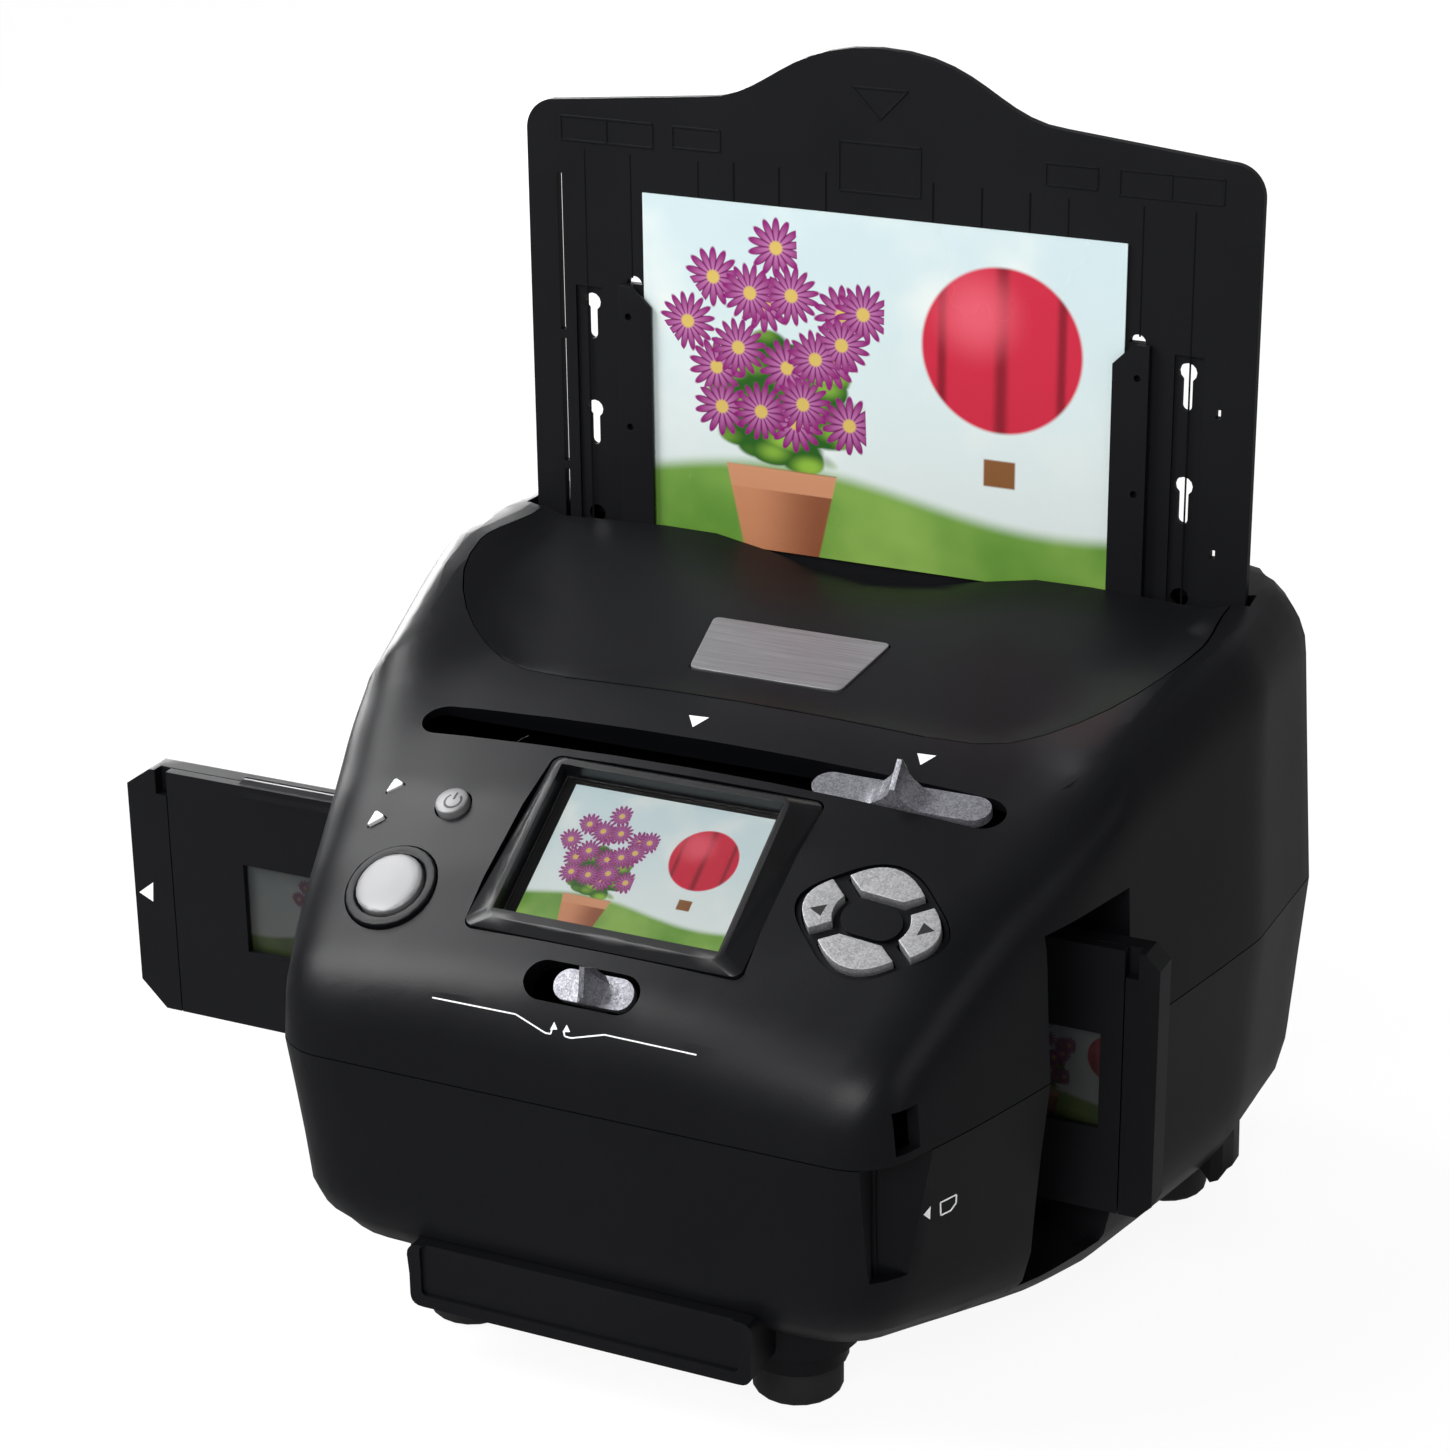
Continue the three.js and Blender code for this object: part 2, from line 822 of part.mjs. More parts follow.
function punched(shape, place) {
  return placed(extruded(shape, -punch, punch), place);
}

function bezelOutline(grow = 0) {
  const middle = (bezelRearReach - bezelFrontReach) / 2;
  const half = (bezelRearReach + bezelFrontReach) / 2 + grow;
  return { half, middle, shape: roundedShape(bezelHalfWidth + grow, half, bezelRound) };
}

// Brow outline: straight at the front, curling back into the sides
function browHalfAt(y) {
  const start = traySlotHalfDepth;
  const share = THREE.MathUtils.clamp((-y - start) / (browFront - start), 0, 1);
  const curl = (1 - share ** browCurlPower) ** (1 / browCurlPower);
  return browFlatHalfWidth + (browRearHalfWidth - browFlatHalfWidth) * curl;
}

const browRows = 12;

function browDepths() {
  const run = browFront - traySlotHalfDepth;
  return Array.from({ length: browRows + 1 }, (_, i) => (
    -browFront + run * (i / browRows) ** 1.6
  ));
}

function browOpening() {
  const right = browDepths().map((y) => new THREE.Vector2(browHalfAt(y) + fit, y));
  const left = right.map((point) => new THREE.Vector2(-point.x, point.y)).reverse();
  const frontEdge = [
    new THREE.Vector2(-browFlatHalfWidth, -browFront - fit),
    new THREE.Vector2(browFlatHalfWidth, -browFront - fit),
  ];
  const shape = new THREE.Shape([...frontEdge, ...right, ...left]);
  return extruded(shape, partingHeight, topHeight + overrun);
}

function traySlot() {
  return box(
    -traySlotHalfWidth, traySlotHalfWidth, -traySlotHalfDepth - fit, traySlotHalfDepth,
    partingHeight, topHeight + overrun,
  );
}

function portOpening() {
  return box(
    portRight - overrun, rearHalfWidth,
    -portBack - portWidth / 2 - slideFit, -portBack + portWidth / 2 + slideFit,
    portHeight - portTall / 2 - slideFit, portHeight + portTall / 2 + slideFit,
  );
}

function upperCase() {
  const form = upperForm(0, partingHeight + seam);
  const shell = cut(form, upperForm(wall, partingHeight - overrun));
  const collarBottom = -slotCollar - wall;
  const additions = [
    placed(extruded(longSlot(wall / 2), collarBottom, 0), longSlotPlace),
    placed(extruded(shortSlot(wall / 2), collarBottom, 0), shortSlotPlace),
    alcove(wall),
    mirrored(alcove(wall)),
    ...screwPlaces.map(([x, back]) => (
      post(x, -back, screwJoinHeight + fit, topHeight, screwPostRadius)
    )),
  ];
  const body = joined(shell, ...additions.map((piece) => common(form, piece)));
  const openings = [
    alcove(0),
    mirrored(alcove(0)),
    holderPassage(),
    punched(longSlot(), longSlotPlace),
    punched(shortSlot(), shortSlotPlace),
    punched(padShape(fit), padPlace),
    punched(roundedShape(scanRingRadius + fit, scanRingRadius + fit, scanRingRadius + fit), scanPlace),
    punched(roundedShape(powerRadius + slideFit, powerRadius + slideFit, powerRadius * 2), powerPlace),
    ...lampPlaces.map((place) => punched(lampShape(fit), place)),
    placed(
      extruded(bezelOutline(fit).shape, -bezelDepth * 2, bezelDepth)
        .translate(0, bezelOutline().middle, 0),
      displayPlace,
    ),
    browOpening(),
    traySlot(),
    portOpening(),
    ...screwPlaces.map(([x, back]) => (
      post(x, -back, 0, screwJoinHeight + screwBite, screwRadius + fit)
    )),
  ];
  return cut(body, ...openings);
}

add('upper_case', upperCase(), finish.shell);

// Lower shell

function plinth() {
  const height = plinthTop - plinthBottom;
  const face = roundedPolygon([
    [-plinthHalfWidth, plinthBottom], [plinthHalfWidth, plinthBottom],
    [plinthHalfWidth, plinthTop], [-plinthHalfWidth, plinthTop],
  ], plinthRim);
  const inset = roundedPolygon([
    [plinthRim - plinthHalfWidth, plinthBottom + plinthRim],
    [plinthHalfWidth - plinthRim, plinthBottom + plinthRim],
    [plinthHalfWidth - plinthRim, plinthBottom + height],
    [plinthRim - plinthHalfWidth, plinthBottom + height],
  ], plinthRim / 2);
  return cut(
    upright(face, -plinthFront, plinthDepth - plinthFront),
    upright(inset, -plinthFront - overrun, plinthInset - plinthFront),
  );
}

const footPlaces = [
  ['front_left', -frontFootX, frontFootBack],
  ['front_right', frontFootX, frontFootBack],
  ['rear_left', -rearFootX, rearFootBack],
  ['rear_right', rearFootX, rearFootBack],
];

function footBossAt(x, back) {
  const top = floorHeight + wall;
  return joined(
    post(x, -back, footHeight, top, footRadius + wall / 2, arcSteps * 2),
    post(x, -back, footBossTop - wall, top + bottomRound / 2, footBoss, arcSteps * 2),
  );
}

function cardRecess(grow) {
  const shape = polygon([
    [cardWallX - grow, -frontReach - overrun],
    [cardWallX - grow, -cardRecessBack + grow],
    [cardRecessCorner - grow / 2, -cardRecessCornerBack + grow],
    [rearHalfWidth, -cardRecessEnd + (rearHalfWidth - cardRecessCorner) / 3 + grow],
    [rearHalfWidth, -frontReach - overrun],
  ]);
  return extruded(shape, cardBottom - fit - grow, partingHeight + overrun);
}

function cardSlot() {
  return box(
    cardWallX - wall - overrun, cardWallX + overrun,
    -cardSlotBack - cardSlotWidth / 2, -cardSlotBack + cardSlotWidth / 2,
    cardBottom, cardTop,
  );
}

function lowerCase() {
  const form = lowerForm(0, partingHeight);
  const hollow = lowerForm(wall, partingHeight + overrun);
  const outside = joined(form, plinth(), ...footPlaces.map(([, x, back]) => footBossAt(x, back)));
  const additions = [
    alcove(wall),
    mirrored(alcove(wall)),
    cardRecess(wall),
    ...screwPlaces.map(([x, back]) => (
      post(x, -back, plinthBottom, screwJoinHeight, screwBossRadius)
    )),
  ];
  const body = joined(cut(outside, hollow), ...additions.map((piece) => common(form, piece)));
  const openings = [
    alcove(0),
    mirrored(alcove(0)),
    holderPassage(),
    cardRecess(0),
    cardSlot(),
    ...screwPlaces.flatMap(([x, back]) => [
      post(x, -back, 0, screwWellTop, screwWellRadius),
      post(x, -back, 0, screwJoinHeight + overrun, screwRadius + fit),
    ]),
  ];
  return cut(body, ...openings);
}

add('lower_case', lowerCase(), finish.shell);

footPlaces.forEach(([place, x, back]) => {
  const pad = turned([
    [0, 0], [footRadius - 1, 0], [footRadius, 1], [footRadius, footHeight - fit], [0, footHeight - fit],
  ]);
  add(`foot_${place}`, pad, finish.rubber).position.set(x, -back, 0);
});

screwPlaces.forEach(([x, back], i) => {
  const headBottom = screwWellTop - fit - screwHeadDepth;
  const screw = turned([
    [0, headBottom], [screwHeadRadius, headBottom],
    [screwHeadRadius, headBottom + screwHeadDepth], [screwRadius, headBottom + screwHeadDepth],
    [screwRadius, screwJoinHeight + screwBite - fit], [0, screwJoinHeight + screwBite - fit],
  ]);
  add(`case_screw_${i + 1}`, screw, finish.metal).position.set(x, -back, 0);
});

// Brow panel and badge plate

function browTop(x, y) {
  const inside = Math.min(browHalfAt(y) - Math.abs(x), y + browFront);
  const step = browStep * THREE.MathUtils.smoothstep(inside, 0, browSlope);
  const across = Math.min(Math.abs(x) / browDipHalfWidth, 1);
  const along = Math.max(0, 1 + (y + traySlotHalfDepth) / browDipRun);
  const dip = browDip * Math.cos(across * Math.PI / 2) ** 2 * along ** 2;
  return surfaceAt(x, y) - step - dip;
}

function browRow(y) {
  const half = browHalfAt(y);
  const edge = [0, 1, 2, 3].map((i) => half - browSlope * (i / 3));
  const inner = edge[edge.length - 1];
  const middle = Array.from({ length: 5 }, (_, i) => inner * (1 - (i + 1) / 6));
  const right = [...edge, ...middle];
  const xs = [...right, 0, ...right.map((x) => -x).reverse()];
  return xs.map((x) => new THREE.Vector3(x, y, browTop(x, y)));
}

// A closed sheet of even thickness under a grid of points
function sheet(rows, thickness) {
  const columns = rows[0].length;
  const top = rows.flat();
  const bottom = top.map((point) => new THREE.Vector3(point.x, point.y, point.z - thickness));
  const index = [];
  const below = top.length;
  const quad = (a, b, c, d) => index.push(a, b, c, a, c, d);
  for (let i = 0; i + 1 < rows.length; i += 1) {
    for (let j = 0; j + 1 < columns; j += 1) {
      const a = i * columns + j;
      const b = a + columns;
      quad(a, b, b + 1, a + 1);
      quad(below + a, below + a + 1, below + b + 1, below + b);
    }
    const last = i * columns + columns - 1;
    quad(i * columns, below + i * columns, below + (i + 1) * columns, (i + 1) * columns);
    quad(last, last + columns, below + last + columns, below + last);
  }
  const end = (rows.length - 1) * columns;
  for (let j = 0; j + 1 < columns; j += 1) {
    quad(j, j + 1, below + j + 1, below + j);
    quad(end + j, below + end + j, below + end + j + 1, end + j + 1);
  }
  const geometry = new THREE.BufferGeometry();
  const positions = [...top, ...bottom].flatMap((point) => point.toArray());
  geometry.setAttribute('position', new THREE.Float32BufferAttribute(positions, 3));
  geometry.setIndex(index);
  return outward(geometry);
}

function badgeShape(grow = 0) {
  const corners = [
    [-badgeTopHalfWidth - grow, badgeLength / 2 + grow],
    [-badgeBottomHalfWidth - grow, -badgeLength / 2 - grow],
    [badgeBottomHalfWidth + grow, -badgeLength / 2 - grow],
    [badgeTopHalfWidth + grow, badgeLength / 2 + grow],
  ];
  return roundedPolygon(corners, badgeRound);
}

const badgePlace = onPanel(0, badgeBack, browTop);
const badgeBottom = badgeProud - badgeThickness;
const browSheet = sheet(browDepths().map(browRow), browThickness);
const badgePocket = placed(extruded(badgeShape(fit), badgeBottom - fit, punch), badgePlace);
add('brow_panel', cut(browSheet, badgePocket), finish.shell);
add(
  'badge_plate',
  placed(extruded(badgeShape(), badgeBottom, badgeProud), badgePlace),
  finish.metal,
);

// Display: raised wedge bezel, window and picture module

function bezelRing(shape, middle, heightOf) {
  return shape.getPoints(arcSteps / 2).slice(0, -1).map((point) => (
    new THREE.Vector3(point.x, point.y + middle, heightOf(point.y + middle))
  ));
}

function displayBezel() {
  const { shape, middle } = bezelOutline();
  const topMiddle = (bezelTopRearReach - bezelTopFrontReach) / 2;
  const topHalf = (bezelTopRearReach + bezelTopFrontReach) / 2;
  const topShape = roundedShape(bezelTopHalfWidth, topHalf, bezelRound);
  const fall = (bezelFrontRise + bezelRearFall) / (bezelFrontReach + bezelRearReach);
  const body = lofted([
    bezelRing(shape, middle, () => -bezelDepth),
    bezelRing(shape, middle, (v) => bezelFrontRise - fall * (v + bezelFrontReach)),
    bezelRing(topShape, topMiddle, () => bezelProud),
  ]);
  const opening = box(
    -displayHalfWidth - windowMargin * 2, displayHalfWidth + windowMargin * 2,
    -displayHalfLength - windowMargin, displayHalfLength + windowMargin,
    -bezelDepth - overrun, bezelProud + overrun,
  );
  return placed(cut(body, opening), displayPlace);
}

function displayBlock(top, bottom) {
  const halfX = displayHalfWidth + windowMargin * 2 - fit;
  const halfY = displayHalfLength + windowMargin - fit;
  return placed(box(-halfX, halfX, -halfY, halfY, bottom, top), displayPlace);
}

const windowBottom = -windowSink - windowThickness;
const moduleTop = windowBottom - fit;
add('display_bezel', displayBezel(), finish.shell);
add('display_window', displayBlock(-windowSink, windowBottom), finish.glass);
add('display_module', displayBlock(moduleTop, moduleTop - displayModuleDepth), finish.picture);

// Push buttons, lamps and the key pad

function roundButton(radius) {
  const flange = radius + buttonFlange;
  return turned([
    [0, -buttonDepth - buttonFlange], [flange, -buttonDepth - buttonFlange],
    [flange, -buttonDepth], [radius, -buttonDepth], [radius, buttonProud],
    [radius * 0.9, buttonProud + buttonCrown * 0.6], [0, buttonProud + buttonCrown],
  ], arcSteps * 2 + 4);
}

function scanRing() {
  const inner = scanRadius + slideFit;
  const outer = scanRingRadius;
  return turned([
    [inner, -ringDepth], [outer, -ringDepth], [outer, 0],
    [outer - fit, fit], [inner + fit, fit], [inner, 0], [inner, -ringDepth],
  ], arcSteps * 2 + 4);
}

add('scan_ring', placed(scanRing(), scanPlace), finish.shell);
add('scan_button', placed(roundButton(scanRadius), scanPlace), finish.silver);
add('power_button', placed(roundButton(powerRadius), powerPlace), finish.silver);
['print_lamp_window', 'film_lamp_window'].forEach((name, i) => {
  add(name, placed(extruded(lampShape(), -lampDepth, fit), lampPlaces[i]), finish.light);
});

function endKeyShape(grow = 0) {
  const shape = new THREE.Shape();
  const wingX = keyWingX + grow;
  const wingY = keyWingY;
  shape.moveTo(-keyInnerHalf - grow, keyInner - grow);
  shape.lineTo(keyInnerHalf + grow, keyInner - grow);
  shape.lineTo(wingX, wingY);
  shape.quadraticCurveTo(0, (keyPeak + grow) * 2 - wingY, -wingX, wingY);
  return shape;
}

function sideKeyShape(grow = 0) {
  const shape = new THREE.Shape();
  const inner = sideKeyInner - grow;
  const wingX = sideKeyWingX;
  const wingY = sideKeyWingY + grow;
  shape.moveTo(inner, -sideKeyInnerHalf - grow);
  shape.lineTo(wingX, -wingY);
  shape.quadraticCurveTo((sideKeyPeak + grow) * 2 - wingX, 0, wingX, wingY);
  shape.lineTo(inner, sideKeyInnerHalf + grow);
  shape.quadraticCurveTo(inner + sideKeyHollow * 2, 0, inner, -sideKeyInnerHalf - grow);
  return shape;
}

const keyReach = (keyInner + keyPeak) / 2;
const sideKeyReach = (sideKeyInner + sideKeyPeak) / 2;
const keys = [
  ['enter_key', endKeyShape, 0, 0, keyReach],
  ['mode_key', endKeyShape, Math.PI, 0, -keyReach],
  ['right_key', sideKeyShape, 0, sideKeyReach, 0],
  ['left_key', sideKeyShape, Math.PI, -sideKeyReach, 0],
];

keys.forEach(([name, shapeOf, turn]) => {
  const key = extruded(shapeOf(), -keyStem, keyProud, arcSteps).rotateZ(turn);
  add(name, placed(key, padPlace), finish.silver);
});

function padBase() {
  const plate = extruded(padShape(), -padDepth, -padSink);
  const boss = extruded(
    roundedShape(padBossHalfWidth, padBossHalfLength, padBossHalfLength), -padDepth, -padBossSink,
  );
  const holes = keys.map(([, shapeOf, turn]) => (
    extruded(shapeOf(slideFit), -padDepth - overrun, overrun, arcSteps).rotateZ(turn)
  ));
  return placed(cut(joined(plate, boss), ...holes), padPlace);
}

add('key_pad_base', padBase(), finish.shell);

// Control board under the panel, with a switch under every button

function switchUnder(place, u, v, buttonBottom) {
  const top = buttonBottom - stroke - fit;
  const bottom = -controlSink - boardThickness / 2;
  return placed(box(u - switchHalf, u + switchHalf, v - switchHalf, v + switchHalf, bottom, top), place);
}

function controlBoard() {
  const board = placed(
    box(
      -controlHalfWidth, controlHalfWidth, -controlHalfLength, controlHalfLength,
      -controlSink - boardThickness, -controlSink,
    ),
    onPanel(0, controlBack),
  );
  const roundBottom = -buttonDepth - buttonFlange;
  return joined(
    board,
    switchUnder(scanPlace, 0, switchHalf, roundBottom),
    switchUnder(powerPlace, 0, 0, roundBottom),
    ...keys.map(([, , , u, v]) => switchUnder(padPlace, u, v, -keyStem)),
  );
}

add('control_board', controlBoard(), finish.board);

// Sliders: a knob with a pointed fin on a plate with round ends

function finSection(height, halfFoot, v) {
  const steps = 4;
  const flank = Array.from({ length: steps + 1 }, (_, i) => {
    const share = i / steps;
    return [finTip / 2 + (halfFoot - finTip / 2) * (1 - share) ** 2, height * share];
  });
  const right = flank.map(([x, z]) => new THREE.Vector3(x, v, z));
  return [...right, ...flank.map(([x, z]) => new THREE.Vector3(-x, v, z)).reverse()];
}

function sliderKnob(length, width) {
  const plate = extruded(roundedShape(length / 2, width / 2, width / 2), -knobDepth, 0);
  const halfFoot = length * finFootShare;
  const fin = lofted([
    finSection(finHeight * finFrontShare + knobDepth / 2, halfFoot, -width / 2),
    finSection(finHeight + knobDepth / 2, halfFoot, width / 4),
    finSection(finHeight * finFrontShare, halfFoot * finFrontShare, width / 2),
  ]).translate(0, 0, -knobDepth / 2);
  return joined(plate, fin).translate(0, 0, -knobSink);
}

const knobBottom = -knobSink - knobDepth;
const modeKnobPlace = onPanel(0, longSlotBack).setPosition(
  modeKnobX, -longSlotBack, surfaceAt(0, -longSlotBack) - crownDropAt(-longSlotBack) / 4,
);
add('mode_knob', placed(sliderKnob(modeKnobLength, modeKnobWidth), modeKnobPlace), finish.silver);

const carriageX = modeKnobX + carriageOffset;
const carriageFront = alcoveRear - wall - slideFit;
const gateHeight = (holderTop + holderBottom) / 2;

function carriage() {
  const armFront = -longSlotBack - armDepth / 2;
  const armRear = -longSlotBack + armDepth / 2;
  const knobUnder = surfaceAt(modeKnobX, -longSlotBack) + knobBottom - fit - crownDropFront / 4;
  const rearFace = carriageDepth - carriageFront;
  const arm = sideways(polygon([
    [armFront, knobUnder], [armRear, knobUnder], [armRear, armBend], [rearFace, armSole + armDepth],
    [rearFace, carriageBottom], [-carriageFront, carriageBottom], [-carriageFront, armSole],
    [armFront, armBend - armDepth],
  ]), modeKnobX - armWidth / 2, modeKnobX + armWidth / 2);
  const plate = box(
    carriageX - carriageWidth / 2, carriageX + carriageWidth / 2,
    -carriageFront, rearFace, carriageBottom, carriageTop,
  );
  const bosses = rodHeights.map((z) => box(
    carriageX - carriageWidth / 2, carriageX + carriageWidth / 2,
    -carriageFront, -rodBack + bossSize / 2, z - bossSize / 2, z + bossSize / 2,
  ));
  const bores = rodHeights.map((z) => (
    new THREE.CylinderGeometry(rodRadius + slideFit, rodRadius + slideFit, rearHalfWidth * 2, arcSteps + 2)
      .rotateZ(Math.PI / 2).translate(0, -rodBack, z)
  ));
  const pocket = box(
    carriageX - lightWidth / 2 - fit, carriageX + lightWidth / 2 + fit,
    -carriageFront - overrun, lightDepth + fit - carriageFront,
    frameAxisHeight - lightHeight / 2 - fit, frameAxisHeight + lightHeight / 2 + fit,
  );
  return cut(joined(plate, arm, ...bosses), ...bores, pocket);
}

add('backlight_carriage', carriage(), finish.chassis);
add('light_panel', box(
  carriageX - lightWidth / 2, carriageX + lightWidth / 2,
  -carriageFront, lightDepth - carriageFront,
  frameAxisHeight - lightHeight / 2, frameAxisHeight + lightHeight / 2,
), finish.light);

const lensKnobPlace = onPanel(0, shortSlotBack).setPosition(
  lensKnobX, -shortSlotBack, surfaceAt(0, -shortSlotBack),
);
add('lens_knob', placed(sliderKnob(lensKnobLength, lensKnobWidth), lensKnobPlace), finish.silver);

function lensLever() {
  const top = placed(
    box(-leverWidth / 2, leverWidth / 2, -leverDepth / 2, leverDepth / 2, -overrun * 3, knobBottom - fit),
    lensKnobPlace,
  );
  const front = -shortSlotBack + leverDepth / 2;
  const tabFront = -leverTabBack - leverDepth / 2;
  const tabRear = -leverTabBack + leverDepth / 2;
  const bar = sideways(polygon([
    [front, leverHeight + leverDepth * 2], [front + leverDepth, leverHeight + leverDepth * 2],
    [front + leverDepth * 2, leverHeight + leverDepth / 2],
    [tabRear, leverHeight], [tabRear, pedestalTop + slideFit], [tabFront, pedestalTop + slideFit],
    [tabFront, leverHeight - leverDepth], [front, leverHeight - leverDepth],
  ]), lensKnobX - leverWidth / 2, lensKnobX + leverWidth / 2);
  return joined(top, bar);
}

add('lens_lever', lensLever(), finish.chassis);

// Film gate: a folded channel that the holder slides through, with a window to the light

function filmGate() {
  const front = -holderFront - slideFit - gateWall;
  const lipRear = front + gateWall;
  const plateFront = -holderRear + slideFit;
  const rear = plateFront + gateWall;
  const under = holderBottom - slideFit;
  const over = holderCrest + slideFit;
  const section = polygon([
    [front, under - gateWall], [rear, under - gateWall], [rear, over + gateWall],
    [front, over + gateWall], [front, over - gateLip], [lipRear, over - gateLip],
    [lipRear, over], [plateFront, over], [plateFront, under],
    [lipRear, under], [lipRear, under + gateLip], [front, under + gateLip],
  ]);
  const window = box(
    -gateWindowHalfWidth, gateWindowHalfWidth, plateFront - overrun, rear + overrun,
    frameAxisHeight - gateWindowHalfHeight, frameAxisHeight + gateWindowHalfHeight,
  );
  return cut(sideways(section, -gateHalfWidth, gateHalfWidth), window);
}

add('film_gate', filmGate(), finish.chassis);

// Chassis: floor plate, backplate, rod brackets and the pedestal of the lens

const chassisTop = chassisBottom + chassisThickness;

function chassis() {
  const rear = backplateFront + chassisThickness;
  const brackets = [-1, 1].map((side) => box(
    Math.min(side * bracketX, side * (bracketX + chassisThickness)),
    Math.max(side * bracketX, side * (bracketX + chassisThickness)),
    -rodBack - bracketDepth / 2, -rodBack + bracketDepth / 2, chassisBottom + wall, bracketTop,
  ));
  const wings = box(
    -bracketX - chassisThickness, bracketX + chassisThickness,
    -rodBack - bracketDepth / 2, -rodBack + bracketDepth / 2, chassisBottom + wall, chassisTop + wall,
  );
  const floor = box(
    -chassisHalfWidth, chassisHalfWidth, -chassisFront, rear, chassisBottom, chassisTop,
  );
  const back = box(
    -backplateHalfWidth, backplateHalfWidth, backplateFront, rear, chassisTop + wall, backplateTop,
  );
  const foot = box(
    -chassisHalfWidth, chassisHalfWidth, backplateFront, rear, chassisBottom, chassisTop + wall * 2,
  );
  const pedestal = box(
    -pedestalHalfWidth, pedestalHalfWidth, -pedestalBack - pedestalDepth, -pedestalBack,
    chassisTop - fit, pedestalTop,
  );
  const posts = postPlaces.map(([x, backAt]) => (
    post(x, -backAt, floorHeight + wall + fit, chassisTop, postRadius)
  ));
  const bore = new THREE.CylinderGeometry(
    barrelRadius + fit, barrelRadius + fit, frontReach, arcSteps * 2,
  ).translate(0, -pedestalBack, 0);
  const rodHoles = rodHeights.map((z) => (
    new THREE.CylinderGeometry(rodRadius + fit, rodRadius + fit, rearHalfWidth * 2, arcSteps + 2)
      .rotateZ(Math.PI / 2).translate(0, -rodBack, z)
  ));
  return cut(
    joined(floor, foot, back, wings, ...brackets, cut(pedestal, bore.translate(0, 0, frameAxisHeight)), ...posts),
    ...rodHoles,
  );
}

add('chassis', chassis(), finish.chassis);
rodHeights.forEach((z, i) => {
  const guideRod = new THREE.CylinderGeometry(rodRadius, rodRadius, rodHalfLength * 2, arcSteps + 2);
  add(['lower_guide_rod', 'upper_guide_rod'][i], guideRod.rotateZ(Math.PI / 2), finish.metal)
    .position.set(0, -rodBack, z);
});

// Tray guides: a groove for each edge of the tray

function trayGuide() {
  const groove = trayDepth / 2 + slideFit;
  const block = box(
    guideInner, guideOuter, -guideFront, backplateFront - fit, chassisTop + wall, guideTop,
  );
  const slot = box(
    guideInner - overrun, trayHalfWidth + slideFit, -groove, groove,
    chassisTop - overrun, guideTop + overrun,
  );
  return cut(block, slot);
}

add('tray_guide_right', trayGuide(), finish.chassis);
add('tray_guide_left', mirrored(trayGuide()), finish.chassis);

// Camera: lens barrel, glass and sensor board, looking back through the film gate

const barrel = new THREE.LatheGeometry([
  [0, 0], [barrelRadius, 0], [barrelRadius, barrelFront - barrelBack - barrelNeck],
  [barrelNeckRadius + wall / 2, barrelFront - barrelBack - barrelNeck],
  [barrelNeckRadius + wall / 2, barrelFront - barrelBack],
  [glassRadius + fit, barrelFront - barrelBack],
  [glassRadius + fit, barrelFront - barrelBack - glassDepth - fit],
  [0, barrelFront - barrelBack - glassDepth - fit],
].map(([r, h]) => new THREE.Vector2(r, h)), arcSteps * 2);
add('lens_barrel', barrel, finish.tray).position.set(0, -barrelFront, frameAxisHeight);
add(
  'lens_glass',
  new THREE.CylinderGeometry(glassRadius, glassRadius, glassDepth, arcSteps * 2),
  finish.glass,
).position.set(0, -barrelBack - glassDepth / 2, frameAxisHeight);
add('sensor_board', box(
  -sensorHalfWidth, sensorHalfWidth, -barrelFront - fit - boardThickness, -barrelFront - fit,
  frameAxisHeight - sensorHalfHeight, frameAxisHeight + sensorHalfHeight,
), finish.board);

// Main board on standoffs

function mainBoard() {
  const bottom = chassisTop + standoffHeight;
  const top = bottom + boardThickness;
  const board = box(-mainHalfWidth, mainHalfWidth, -mainFront, -mainRear, bottom, top);
  const inset = standoffRadius * 2;
  const corners = [-1, 1].flatMap((side) => [
    [side * (mainHalfWidth - inset), -mainFront + inset],
    [side * (mainHalfWidth - inset), -mainRear - inset],
  ]);
  const legs = corners.map(([x, y]) => (
    post(x, y, chassisTop + fit, bottom + boardThickness / 2, standoffRadius)
  ));
  const middle = -(mainFront + mainRear) / 2;
  const chip = box(
    -chipHalf, chipHalf, middle - chipHalf, middle + chipHalf, top - fit, top + chipHeight,
  );
  return joined(board, chip, ...legs);
}

add('main_board', mainBoard(), finish.board);

// Sockets on a small upright board

add('side_board', box(
  sideBoardLeft, sideBoardRight, -sideBoardBack - boardThickness, -sideBoardBack,
  cardBottom - wall, sideBoardTop,
), finish.board);

function usbSocket() {
  const shell = box(
    portLeft, portRight, -portBack - portWidth / 2, -sideBoardBack - boardThickness - fit,
    portHeight - portTall / 2, portHeight + portTall / 2,
  );
  const hollow = box(
    portLeft + portShell, portRight + overrun,
    -portBack - portWidth / 2 + portShell, -sideBoardBack - boardThickness - fit - portShell,
    portHeight - portTall / 2 + portShell, portHeight + portTall / 2 - portShell,
  );
  return cut(shell, hollow);
}

add('usb_socket', usbSocket(), finish.metal);

function cardSocket() {
  const right = cardWallX - wall - fit;
  const rear = -sideBoardBack - boardThickness - fit;
  const body = box(cardSocketLeft, right, rear - cardSocketDepth, rear, cardBottom, cardTop);
  const slot = box(
    cardSocketLeft + wall, right + overrun,
    -cardSlotBack - cardSlotWidth / 2 + fit, -cardSlotBack + cardSlotWidth / 2 - fit,
    cardBottom + fit, cardTop - fit,
  );
  return cut(body, slot);
}

add('card_socket', cardSocket(), finish.metal);

// Print tray

